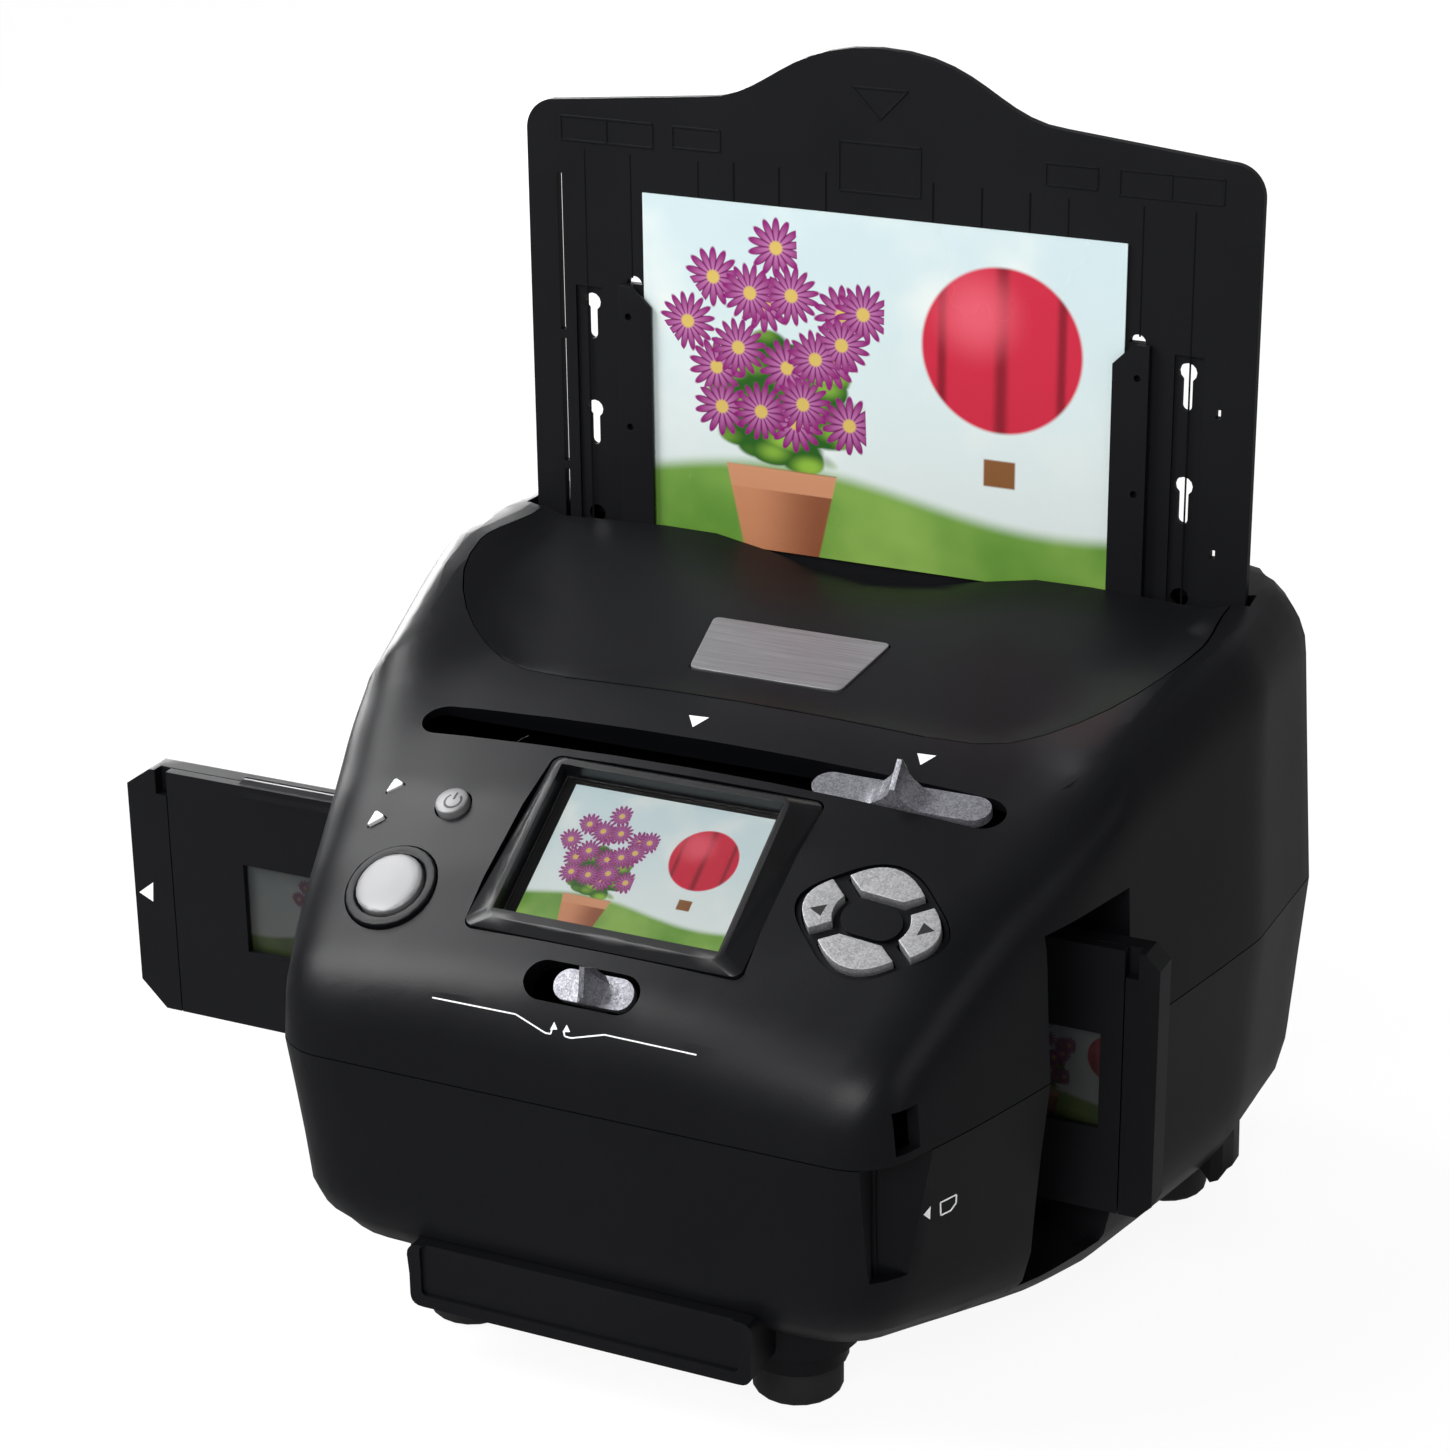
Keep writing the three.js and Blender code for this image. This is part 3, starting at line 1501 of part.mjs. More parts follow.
function keyhole(side, top) {
  const x = side * keyholeX;
  const shape = new THREE.Shape();
  const wideZ = top - keyholeRadius;
  const narrowZ = top - keyholeLength + keyholeSlotRadius;
  const open = Math.asin(keyholeSlotRadius / keyholeRadius);
  shape.absarc(x, wideZ, keyholeRadius, open - Math.PI / 2, Math.PI * 3 / 2 - open);
  shape.absarc(x, narrowZ, keyholeSlotRadius, Math.PI, Math.PI * 2);
  return shape;
}

function halfMoon(side) {
  const shape = new THREE.Shape();
  shape.absarc(side * moonX, railTop, moonRadius, 0, Math.PI);
  return shape;
}

function trayOutline() {
  const shape = new THREE.Shape();
  const w = trayHalfWidth;
  const ctrlOuter = humpHalfWidth * 0.62;
  const ctrlInner = humpHalfWidth * 0.55;
  shape.moveTo(-w + trayCorner / 2, trayBottom);
  shape.lineTo(w - trayCorner / 2, trayBottom);
  shape.lineTo(w, trayBottom + trayCorner / 2);
  shape.lineTo(w, trayShoulder - trayCorner);
  shape.absarc(w - trayCorner, trayShoulder - trayCorner, trayCorner, 0, Math.PI / 2);
  shape.lineTo(humpHalfWidth, trayInnerShoulder);
  shape.bezierCurveTo(
    ctrlOuter, trayInnerShoulder + 1, ctrlInner, trayCrest, 0, trayCrest,
  );
  shape.bezierCurveTo(
    -ctrlInner, trayCrest, -ctrlOuter, trayInnerShoulder + 1, -humpHalfWidth, trayInnerShoulder,
  );
  shape.absarc(trayCorner - w, trayShoulder - trayCorner, trayCorner, Math.PI / 2, Math.PI);
  shape.lineTo(-w, trayBottom + trayCorner / 2);
  return shape;
}

function slitPieces() {
  const edges = [longSlitTop, ...slitBridgeHeights, longSlitBottom];
  return edges.slice(1).map((low, i) => box(
    -longSlitX - longSlitWidth / 2, -longSlitX + longSlitWidth / 2, -trayDepth, trayDepth,
    low + slitBridge / 2, edges[i] - (i > 0 ? slitBridge / 2 : 0),
  ));
}

function trayPlate() {
  const plate = upright(trayOutline(), -trayDepth / 2, trayDepth / 2, arcSteps);
  const keyholes = [-1, 1].flatMap((side) => (
    Array.from({ length: keyholeCount }, (_, i) => keyhole(side, keyholeTop - i * keyholePitch))
  ));
  const punches = [...keyholes, halfMoon(-1), halfMoon(1)].map((shape) => (
    upright(shape, -trayDepth, trayDepth)
  ));
  const pegHoles = slitBridgeHeights.map((z) => box(
    longSlitX - longSlitWidth / 2, longSlitX + longSlitWidth / 2, -trayDepth, trayDepth,
    z - slitBridge / 2, z + slitBridge / 2,
  ));
  const channels = [-1, 1].map((side) => box(
    Math.min(side * stripInner, side * stripOuter), Math.max(side * stripInner, side * stripOuter),
    -trayDepth / 2 - overrun, -trayDepth / 2 + stripDepth, trayBottom - overrun, stripTop,
  ));
  return cut(plate, ...channels, ...punches, ...pegHoles, ...slitPieces());
}

function trayRail() {
  const front = -trayDepth / 2 - fit * 2 - printDepth - fit;
  const baseOutline = polygon([
    [railBaseInner, trayBottom], [railOuter, trayBottom], [railOuter, railTop],
    [railBaseInner + railChamfer / 2, railTop], [railBaseInner, railTop - railChamfer],
  ]);
  const lipOutline = polygon([
    [railInner, trayBottom], [railOuter, trayBottom], [railOuter, railTop],
    [railInner + railChamfer, railTop], [railInner, railTop - railChamfer],
  ]);
  const rail = joined(
    upright(baseOutline, front, -trayDepth / 2 - fit),
    upright(lipOutline, front - railLip, front),
  );
  const holes = railHoleHeights.map((z) => (
    new THREE.CylinderGeometry(railHoleRadius, railHoleRadius, trayDepth * 4, arcSteps)
      .translate(railHoleX, 0, z)
  ));
  return cut(rail, ...holes);
}

add('tray_plate', trayPlate(), finish.tray);
add('tray_rail_right', trayRail(), finish.tray);
add('tray_rail_left', mirrored(trayRail()), finish.tray);
add('tray_print', box(
  -printHalfWidth, printHalfWidth, -trayDepth / 2 - fit - printDepth, -trayDepth / 2 - fit,
  printTop - printDropHeight, printTop,
), finish.picture);

// Film holder: base with full-depth ends, lid between them, hinge pin and film

const partingY = -holderFront + holderLidDepth;
const hingeHeight = holderCrest - knuckleRadius;
const knuckleRun = (knuckleLeft + knuckleRight) / knuckleCount;

function frames(front, rear) {
  return Array.from({ length: frameCount }, (_, i) => {
    const left = i * framePitch - firstFrameLeft;
    return box(
      left, left + frameWidth, front - overrun, rear + overrun,
      frameAxisHeight - frameHeight / 2, frameAxisHeight + frameHeight / 2,
    );
  });
}

function knuckles(parity, radius, gap) {
  return Array.from({ length: knuckleCount }, (_, i) => i).filter((i) => i % 2 === parity).map((i) => {
    const left = i * knuckleRun - knuckleLeft + gap;
    const length = knuckleRun - gap * 2;
    return new THREE.CylinderGeometry(radius, radius, length, arcSteps + 2)
      .rotateZ(Math.PI / 2).translate(left + length / 2, partingY, hingeHeight);
  });
}

function pinBore(radius) {
  const length = knuckleLeft + knuckleRight;
  return new THREE.CylinderGeometry(radius, radius, length, arcSteps)
    .rotateZ(Math.PI / 2).translate((knuckleRight - knuckleLeft) / 2, partingY, hingeHeight);
}

function holderBase() {
  const outline = polygon([
    [-holderLeft, holderBottom + holderChamfer], [holderChamfer - holderLeft, holderBottom],
    [holderRight - holderChamfer / 2, holderBottom], [holderRight, holderBottom + holderChamfer / 2],
    [holderRight, holderTop - holderChamfer / 2], [holderRight - holderChamfer / 2, holderTop],
    [holderChamfer - holderLeft, holderTop], [-holderLeft, holderTop - holderChamfer * 0.7],
  ]);
  const full = upright(outline, -holderFront, -holderRear);
  const seat = box(
    -lidLeft, lidRight, -holderFront - overrun, partingY, holderBottom - overrun, holderTop + overrun,
  );
  const notches = [-lidLeft - endNotchWidth, lidRight].map((x) => box(
    x, x + endNotchWidth, -holderFront - overrun, partingY,
    holderTop - endNotchDepth, holderTop + overrun,
  ));
  const body = cut(full, seat, ...notches, ...frames(-holderFront, -holderRear));
  return cut(
    joined(body, ...knuckles(1, knuckleRadius, slideFit)),
    ...knuckles(0, knuckleRadius + slideFit, 0),
    pinBore(holderPinRadius + fit),
  );
}

function holderLid() {
  const plate = box(
    -lidLeft + fit, lidRight - fit, -holderFront, partingY - fit, holderBottom, holderTop,
  );
  const filmChannel = box(
    -firstFrameLeft - filmMargin - fit, frameCount * framePitch - firstFrameLeft + filmMargin + fit,
    partingY - filmDepth - fit * 3, partingY + overrun,
    frameAxisHeight - filmWidth / 2 - fit, frameAxisHeight + filmWidth / 2 + fit,
  );
  const body = cut(plate, filmChannel, ...frames(-holderFront, partingY));
  return cut(
    joined(body, ...knuckles(0, knuckleRadius, slideFit)),
    ...knuckles(1, knuckleRadius + slideFit, 0),
    pinBore(holderPinRadius + fit),
  );
}

add('holder_base', holderBase(), finish.tray);
add('holder_lid', holderLid(), finish.tray);
add('holder_hinge_pin', pinBore(holderPinRadius), finish.metal);
add('film_strip', box(
  -firstFrameLeft - filmMargin, frameCount * framePitch - firstFrameLeft + filmMargin,
  partingY - fit - filmDepth, partingY - fit,
  frameAxisHeight - filmWidth / 2, frameAxisHeight + filmWidth / 2,
), finish.film);

// The origin is the middle of the footprint

const extent = new THREE.Box3().setFromObject(scanner);
const centre = extent.getCenter(new THREE.Vector3());
scanner.position.set(-centre.x, -centre.y, -extent.min.z);

const model = new THREE.Group();
model.add(scanner);

export default model;
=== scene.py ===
# Desktop scanner for film and paper prints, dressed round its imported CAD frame
import json
import math

import bmesh
import bpy
import numpy as np
from mathutils import Matrix, Vector
from mathutils.bvhtree import BVHTree
from mathutils.kdtree import KDTree


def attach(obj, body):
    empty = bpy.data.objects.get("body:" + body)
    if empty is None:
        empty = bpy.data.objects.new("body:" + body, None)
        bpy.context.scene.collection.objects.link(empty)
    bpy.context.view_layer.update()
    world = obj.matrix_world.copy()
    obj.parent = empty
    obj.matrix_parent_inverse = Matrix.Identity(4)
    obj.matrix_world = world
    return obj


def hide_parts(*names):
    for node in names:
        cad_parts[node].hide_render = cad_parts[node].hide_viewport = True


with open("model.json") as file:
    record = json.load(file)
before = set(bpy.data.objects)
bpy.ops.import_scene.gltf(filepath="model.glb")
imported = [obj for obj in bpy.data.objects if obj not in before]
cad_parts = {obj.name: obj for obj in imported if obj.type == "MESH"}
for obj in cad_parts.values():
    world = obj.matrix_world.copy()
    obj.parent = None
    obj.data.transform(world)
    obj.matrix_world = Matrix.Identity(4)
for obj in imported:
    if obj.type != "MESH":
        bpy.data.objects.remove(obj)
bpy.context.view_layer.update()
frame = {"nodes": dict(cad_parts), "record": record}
nodes = frame["nodes"]
body_of = {name: body for body, names in frame["record"]["behaviour"]["bodies"].items()
           for name in names}
MM = 0.001

# Studio: a pale floor that turns up into a backdrop, a soft box high on the left, a weaker
# one on the right, and a strip low behind the left side, which draws the light along the
# rounded edge of the housing. The camera stands before the front right corner.
MIDDLE = Vector((25.46369, 70.0, 0.0)) * MM


def at(x, y, z):
    """A point of the scanner in metres: x across, y back from the tray plane, z up, in mm."""
    return Vector((x, y, z)) * MM + MIDDLE


def wire(tree, kind, where=None, **values):
    """Adds a shader node. A value is a socket to link, or a setting. The names i0, i1 and so on
    stand for sockets by number."""
    made = tree.nodes.new(kind)
    for key, value in (where or {}).items():
        setattr(made, key, value)
    for key, value in values.items():
        numbered = key[0] == "i" and key[1:].isdigit()
        socket = made.inputs[int(key[1:])] if numbered else made.inputs[key.replace("_", " ")]
        if isinstance(value, bpy.types.NodeSocket):
            tree.links.new(value, socket)
        else:
            socket.default_value = value
    return made


def new_material(name):
    made = bpy.data.materials.new(name)
    made.use_nodes = True
    return made, made.node_tree, made.node_tree.nodes["Principled BSDF"]


def linked_piece(name, mesh, material, body):
    mesh.materials.append(material)
    piece = bpy.data.objects.new(name, mesh)
    bpy.context.scene.collection.objects.link(piece)
    if body:
        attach(piece, body)
    return piece


def studio():
    """Floor and backdrop: paper to the lamps, white to the camera, and a dim room to gloss."""
    half, floor_end, curve, steps = 4.0, 1.2, 0.6, 12
    seen_glow, mirrored_glow, seen_share = 1.05, 0.25, 0.88
    profile = [(-half, 0.0), (floor_end, 0.0)]
    for i in range(1, steps + 1):
        turn = math.pi / 2 * i / steps
        profile.append((floor_end + curve * math.sin(turn), curve * (1 - math.cos(turn))))
    profile.append((floor_end + curve, half))
    vertices = [(x, y, z) for y, z in profile for x in (-half, half)]
    faces = [(2 * i, 2 * i + 1, 2 * i + 3, 2 * i + 2) for i in range(len(profile) - 1)]
    mesh = bpy.data.meshes.new("backdrop")
    mesh.from_pydata(vertices, [], faces)
    mesh.shade_smooth()
    material, tree, shader = new_material("backdrop_paper")
    shader.inputs["Base Color"].default_value = (0.82, 0.82, 0.82, 1)
    shader.inputs["Roughness"].default_value = 0.9
    path = wire(tree, "ShaderNodeLightPath")
    mirrored = path.outputs["Is Glossy Ray"]
    strength = wire(tree, "ShaderNodeMapRange", i0=mirrored, i3=seen_glow, i4=mirrored_glow)
    glow = wire(tree, "ShaderNodeEmission", Color=(1, 1, 1, 1), Strength=strength.outputs[0])
    clear = wire(tree, "ShaderNodeMath", {"operation": "MAXIMUM"},
                 i0=path.outputs["Is Camera Ray"], i1=path.outputs["Is Transmission Ray"])
    shown = wire(tree, "ShaderNodeMath", {"operation": "MULTIPLY"}, i0=clear.outputs[0],
                 i1=seen_share)
    seen = wire(tree, "ShaderNodeMath", {"operation": "MAXIMUM"}, i0=shown.outputs[0],
                i1=mirrored)
    mix = wire(tree, "ShaderNodeMixShader", i0=seen.outputs[0], i1=shader.outputs[0],
               i2=glow.outputs[0])
    tree.links.new(mix.outputs[0], tree.nodes["Material Output"].inputs["Surface"])
    linked_piece("backdrop", mesh, material, None)


def lamp(name, place, target, size, power):
    light = bpy.data.lights.new(name, "AREA")
    light.shape = "RECTANGLE"
    light.size, light.size_y = size
    light.energy = power
    made = bpy.data.objects.new(name, light)
    bpy.context.scene.collection.objects.link(made)
    made.visible_camera = False
    made.location = place
    made.rotation_euler = (Vector(target) - Vector(place)).to_track_quat("-Z", "Y").to_euler()


studio()
lamp("soft_box_left", (-1.0, -0.7, 1.25), (0, 0, 0.1), (0.8, 0.8), 24)
lamp("soft_box_top", (-1.05, 0.25, 1.3), (0, 0, 0.1), (0.6, 0.6), 12)
lamp("soft_box_front", (0.1, -1.7, 1.2), (0, 0, 0.12), (0.8, 0.5), 16)
lamp("soft_box_right", (1.4, -0.3, 0.8), (0, 0, 0.1), (0.7, 0.7), 2)
lamp("strip_left", (-0.85, 0.95, 0.22), (0, -0.05, 0.15), (0.9, 0.36), 12)
world = bpy.data.worlds.new("soft_room")
world.use_nodes = True
world.node_tree.nodes["Background"].inputs["Color"].default_value = (1, 1, 1, 1)
world.node_tree.nodes["Background"].inputs["Strength"].default_value = 0.12
bpy.context.scene.world = world

FOCUS, CENTRE, PICTURE = 3632, (739, 726), 1450
VIEW_PLACE = at(333.75, -791.83, 451.78)
VIEW_TURN = Matrix((
    (0.90613, -0.15255, 0.39454),
    (0.42292, 0.34561, -0.83767),
    (-0.00857, 0.92590, 0.37768),
))
camera = bpy.data.objects.new("camera", bpy.data.cameras.new("camera"))
camera.data.sensor_width = 36
camera.data.lens = FOCUS / PICTURE * camera.data.sensor_width
camera.data.shift_x = (PICTURE / 2 - CENTRE[0]) / PICTURE
camera.data.shift_y = (CENTRE[1] - PICTURE / 2) / PICTURE
camera.data.clip_end = 20
camera.matrix_world = Matrix.Translation(VIEW_PLACE) @ VIEW_TURN.to_4x4()
bpy.context.scene.collection.objects.link(camera)
bpy.context.scene.camera = camera
bpy.context.scene.view_settings.view_transform = "Standard"

# Housing: two half shells of black ABS, injection moulded with a fine spark texture. They
# meet at a line round the scanner and are held together by four screws from below.


def grain_group():
    """Moulded texture: a fine height, and a slow mottle of handling and flow."""
    tree = bpy.data.node_groups.new("moulded_grain", "ShaderNodeTree")
    tree.interface.new_socket("Size", in_out="INPUT", socket_type="NodeSocketFloat")
    for name in ("Height", "Mottle"):
        tree.interface.new_socket(name, in_out="OUTPUT", socket_type="NodeSocketFloat")
    given = tree.nodes.new("NodeGroupInput")
    result = tree.nodes.new("NodeGroupOutput")
    place = wire(tree, "ShaderNodeTexCoord")
    count = wire(tree, "ShaderNodeMath", {"operation": "DIVIDE"}, i0=1.0,
                 i1=given.outputs["Size"])
    fine = wire(tree, "ShaderNodeTexNoise", Vector=place.outputs["Object"],
                Scale=count.outputs[0], Detail=2.0, Roughness=0.6)
    slow = wire(tree, "ShaderNodeTexNoise", Vector=place.outputs["Object"], Scale=28.0,
                Detail=3.0, Roughness=0.55)
    tree.links.new(fine.outputs["Fac"], result.inputs["Height"])
    tree.links.new(slow.outputs["Fac"], result.inputs["Mottle"])
    return tree


MOULDED_GRAIN = grain_group()


def moulded(name, dark, light, roughness, size=0.0005, depth=0.12, level=0.5):
    """Moulded plastic: two shades of its colour, and grain in gloss and relief."""
    spread = 0.06
    material, tree, shader = new_material(name)
    grain = wire(tree, "ShaderNodeGroup", {"node_tree": MOULDED_GRAIN}, Size=size)
    colour = wire(tree, "ShaderNodeMix", {"data_type": "RGBA"}, i0=grain.outputs["Mottle"],
                  i6=(*dark, 1), i7=(*light, 1))
    gloss = wire(tree, "ShaderNodeMapRange", i0=grain.outputs["Mottle"], i3=roughness - spread,
                 i4=roughness + spread)
    relief = wire(tree, "ShaderNodeBump", Height=grain.outputs["Height"], Strength=depth,
                  Distance=size * 0.3)
    tree.links.new(colour.outputs[2], shader.inputs["Base Color"])
    tree.links.new(gloss.outputs[0], shader.inputs["Roughness"])
    tree.links.new(relief.outputs[0], shader.inputs["Normal"])
    shader.inputs["Specular IOR Level"].default_value = level
    return material


CREASE = math.radians(38)


def smoothed(mesh, reach):
    """Shades a mesh from the average slope of the faces round each point, up to a crease."""
    count = len(mesh.polygons)
    normals, centres = np.empty(count * 3), np.empty(count * 3)
    areas = np.empty(count)
    mesh.polygons.foreach_get("normal", normals)
    mesh.polygons.foreach_get("center", centres)
    mesh.polygons.foreach_get("area", areas)
    normals = normals.reshape(-1, 3)
    tree = KDTree(count)
    for i, centre in enumerate(centres.reshape(-1, 3)):
        tree.insert(centre, i)
    tree.balance()
    areas = np.minimum(areas, reach ** 2)
    limit = math.cos(CREASE)
    touching = [[] for _ in mesh.vertices]
    for face in mesh.polygons:
        for vertex, loop in zip(face.vertices, face.loop_indices):
            touching[vertex].append((face.index, loop))
    result = [None] * len(mesh.loops)
    for vertex in mesh.vertices:
        near = {i for _, i, _ in tree.find_range(vertex.co, reach)}
        near |= {i for i, _ in touching[vertex.index]}
        near = list(near)
        slopes, weights = normals[near], areas[near]
        for i, loop in touching[vertex.index]:
            kept = slopes @ normals[i] > limit
            result[loop] = tuple((slopes[kept] * weights[kept, None]).sum(0))
    mesh.normals_split_custom_set([Vector(slope).normalized() for slope in result])


def refined(form, spacing):
    """Splits every line of a mesh that is longer than the spacing, in mm."""
    rounds = 7
    bmesh.ops.triangulate(form, faces=form.faces)
    for _ in range(rounds):
        lines = [line for line in form.edges if line.calc_length() > spacing * MM]
        if not lines:
            break
        bmesh.ops.subdivide_edges(form, edges=lines, cuts=1)
        bmesh.ops.triangulate(form, faces=[face for face in form.faces if len(face.verts) > 3])


def mesh_of(form, name):
    """The finished mesh of a form, which is then let go."""
    mesh = bpy.data.meshes.new(name)
    form.to_mesh(mesh)
    form.free()
    return mesh


# The form of the housing, in mm: heights from the desk, then stations from the nose to the rear
# with the solid's half width and crown at each, how far the skin goes out, down and up there,
# and where the panel's rim lies and how wide it blends. Turns are in degrees about the parting
# line, with the share of each move that they take.
PARTING, CASE_BOTTOM, BOSS_TOP = 75.5, 9.2, 20.5
FLOOR_DEPTH, REAR_WALL = 54.7, 33.5
SKIN_START, SKIN_BLEND, TURN_BLEND, LEAST = 0.78, 0.12, 14, 0.01
DEPTHS = (-174, -165, -155, -140, -125, -110, -90, -70, -50, -30, -10, 10, 22, 34)
HALF_WIDTHS = (68, 73, 77, 82, 86.5, 90.5, 95.5, 99.8, 103.5, 106.8, 109.6, 112, 110.6, 96)
CROWN = (12, 19, 27, 40, 48, 55, 60, 64, 68, 71, 74, 76, 76, 74)
SIDE_OUT = (3, 3.2, 3.6, 3.8, 3.8, 3.9, 4, 4, 4.4, 5, 2.3, 0, -3, -14)
FLOOR_DOWN = (0, 0, 1, 3.5, 6.5, 9.5, 11.5, 11.8, 11.8, 11.8, 11.8, 11.8, 11.8, 7)
RIDGE_UP = (0, 2, 4, 4, 3.5, 4, 5, 5.5, 6, 6, 5, 3, 1, 0)
RIM = (0, 0, 0, 0, 0, 0, 64, 62, 66, 78, 89, 91, 91, 91)
RIM_WIDTH = (1, 1, 1, 1, 1, 1, 22, 28, 26, 20, 14, 12, 11, 11)
LAST_TURNS = (18, 22, 25, 28, 31, 35, 41, 60, 60, 60, 60, 60, 60, 60)
TURNS = (-90, -50, -40, -30, -20, -10, 0, 10, 20, 30, 36, 45, 58)
OUT_SHARES = (0, 0, 0.8, 1.2, 1.05, 1, 1, 1.05, 1.15, 1.4, 1.4, 1, 0)
DOWN_SHARES = (1, 1, 1, 1, 0.6, 0.2, 0, 0, 0, 0, 0, 0, 0)
UP_SHARES = (0, 0, 0, 0, 0, 0, 0, 0.05, 0.25, 0.7, 1, 0.7, 0)


def filled_out(point):
    """Fuller shoulders, sides and underside of the moulding than the plain solid has."""
    x, y, z = (point - MIDDLE) / MM
    if y > REAR_WALL or z < BOSS_TOP:
        return point
    side, up = abs(x), z - PARTING
    turn = math.degrees(math.atan2(up, side))
    skin = np.interp(y, DEPTHS, HALF_WIDTHS) / max(math.cos(math.radians(turn)), LEAST)
    if up > 0:
        skin = min(skin, np.interp(y, DEPTHS, CROWN) / math.sin(math.radians(turn)))
    else:
        skin = min(skin, FLOOR_DEPTH / max(math.sin(math.radians(-turn)), LEAST))
    share = min(1, max(0, (math.hypot(side, up) / skin - SKIN_START) / SKIN_BLEND))
    if turn > 0:
        beyond = (side - np.interp(y, DEPTHS, RIM)) / np.interp(y, DEPTHS, RIM_WIDTH)
        below = (np.interp(y, DEPTHS, LAST_TURNS) - turn) / TURN_BLEND
        share *= min(1, max(0, beyond)) * min(1, max(0, below))
    share *= share * (3 - 2 * share)
    out = np.interp(y, DEPTHS, SIDE_OUT) * np.interp(turn, TURNS, OUT_SHARES)
    rise = (np.interp(y, DEPTHS, RIDGE_UP) * np.interp(turn, TURNS, UP_SHARES)
            - np.interp(y, DEPTHS, FLOOR_DOWN) * np.interp(turn, TURNS, DOWN_SHARES))
    return at(math.copysign(side + out * share, x), y, max(z + rise * share, CASE_BOTTOM))


def finished(name, material, spacing, reach, edge=0.0, form_of=None):
    """A copy of a CAD node with its edges broken and its curves shaded round, in its place.
    Spacing, reach and edge are the longest line, the span of the shading and the bevel, in mm."""
    weld, flat = 0.002, math.radians(0.4)
    form = bmesh.new()
    form.from_mesh(nodes[name].data)
    bmesh.ops.remove_doubles(form, verts=form.verts, dist=weld * MM)
    if edge:
        bmesh.ops.dissolve_limit(form, angle_limit=flat, verts=form.verts, edges=form.edges)
        sharp = [line for line in form.edges if len(line.link_faces) == 2
                 and line.calc_face_angle(0) > CREASE]
        bmesh.ops.bevel(form, geom=sharp, offset=edge * MM, segments=2, profile=0.5,
                        affect="EDGES", clamp_overlap=True)
    refined(form, spacing)
    for vertex in form.verts if form_of else ():
        vertex.co = form_of(vertex.co)
    mesh = mesh_of(form, f"{name}_finish")
    smoothed(mesh, reach * MM)
    piece = linked_piece(f"{name}_finish", mesh, material, body_of[name])
    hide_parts(name)


SHELL_BLACK = moulded("black_shell", (0.0042, 0.0044, 0.0058), (0.0058, 0.006, 0.0076), 0.36,
                      level=0.2)
finished("upper_case", SHELL_BLACK, spacing=5, reach=7, form_of=filled_out)
finished("lower_case", SHELL_BLACK, spacing=6, reach=7, form_of=filled_out)

# Printed marks: white pad-printed triangles that point to the ends of both sliders, leader
# lines from the lens slider, and the card sign on the right side. The ink is a few hundredths
# of a millimetre thick, and lies on the shell.


def surface(name):
    """The skin of a piece as it is seen, for lines to be sent onto."""
    mesh = bpy.data.meshes.get(f"{name}_finish") or nodes[name].data
    return BVHTree.FromPolygons([vertex.co for vertex in mesh.vertices],
                                [tuple(face.vertices) for face in mesh.polygons])


def sight(x, y):
    """The line of sight through a point of the picture, x to the right and y down."""
    ahead = Vector(((x - CENTRE[0]) / FOCUS, (CENTRE[1] - y) / FOCUS, -1))
    return (VIEW_TURN @ ahead).normalized()


def laid(name, outlines, carrier, material, lift=0.06, cell=1.2, start=None, aim=None):
    """Flat ink on a carrier: outlines are sent onto its skin, along the lines of sight or from
    a start in the direction of an aim. Lift and cell are its height and longest line, in mm."""
    skin = surface(carrier)
    form = bmesh.new()
    for outline in outlines:
        corners = []
        for point in outline:
            origin, line = (VIEW_PLACE, sight(*point)) if aim is None else (start(*point), aim)
            corners.append(form.verts.new(skin.ray_cast(origin, line)[0]))
        form.faces.new(corners)
    refined(form, cell)
    for vertex in form.verts:
        place, slope, _, _ = skin.find_nearest(vertex.co)
        vertex.co = place + slope * lift * MM
    form.normal_update()
    form.faces.ensure_lookup_table()
    _, slope, _, _ = skin.find_nearest(form.faces[0].calc_center_median())
    if form.faces[0].normal.dot(slope) < 0:
        bmesh.ops.reverse_faces(form, faces=form.faces)
    mesh = mesh_of(form, name)
    mesh.shade_smooth()
    linked_piece(name, mesh, material, body_of[carrier])


def stroke(points, width):
    """The outline quads of a drawn line."""
    quads = []
    for (x0, y0), (x1, y1) in zip(points, points[1:]):
        run = math.hypot(x1 - x0, y1 - y0)
        across = (-(y1 - y0) / run * width / 2, (x1 - x0) / run * width / 2)
        quads.append([(x0 + across[0], y0 + across[1]), (x1 + across[0], y1 + across[1]),
                      (x1 - across[0], y1 - across[1]), (x0 - across[0], y0 - across[1])])
    return quads


LINE = 1.5
WHITE_INK = moulded("white_ink", (0.9, 0.9, 0.9), (0.97, 0.97, 0.97), 0.5, depth=0.05)
laid("mode_marks", [
    [(689.2, 715.3), (692.7, 727.3), (709.1, 717.8)],
    [(917.3, 753.4), (920.5, 765.1), (936.4, 755.9)],
], "upper_case", WHITE_INK)
laid("lens_marks", [
    [(550.1, 1029.9), (557.4, 1029.5), (554.3, 1021.8)],
    [(562.5, 1032.2), (570.2, 1032.0), (566.9, 1024.7)],
    *stroke([(432.4, 997.5), (515.7, 1014.2), (545.3, 1032.9), (550.7, 1033.9), (552, 1029.5)],
            LINE),
    *stroke([(563.9, 1032), (564.8, 1036.2), (571.1, 1038.1), (604.6, 1034.8), (696.5, 1054.9)],
            LINE),
], "upper_case", WHITE_INK)
laid("card_marks", [
    [(923.4, 1214.7), (929.9, 1219.4), (930.5, 1206.0)],
    *stroke([(940.3, 1202.5), (956.3, 1194.5), (955.9, 1202.8), (950.5, 1210.4),
             (940.7, 1215.3), (940.3, 1202.5)], LINE),
], "lower_case", WHITE_INK)

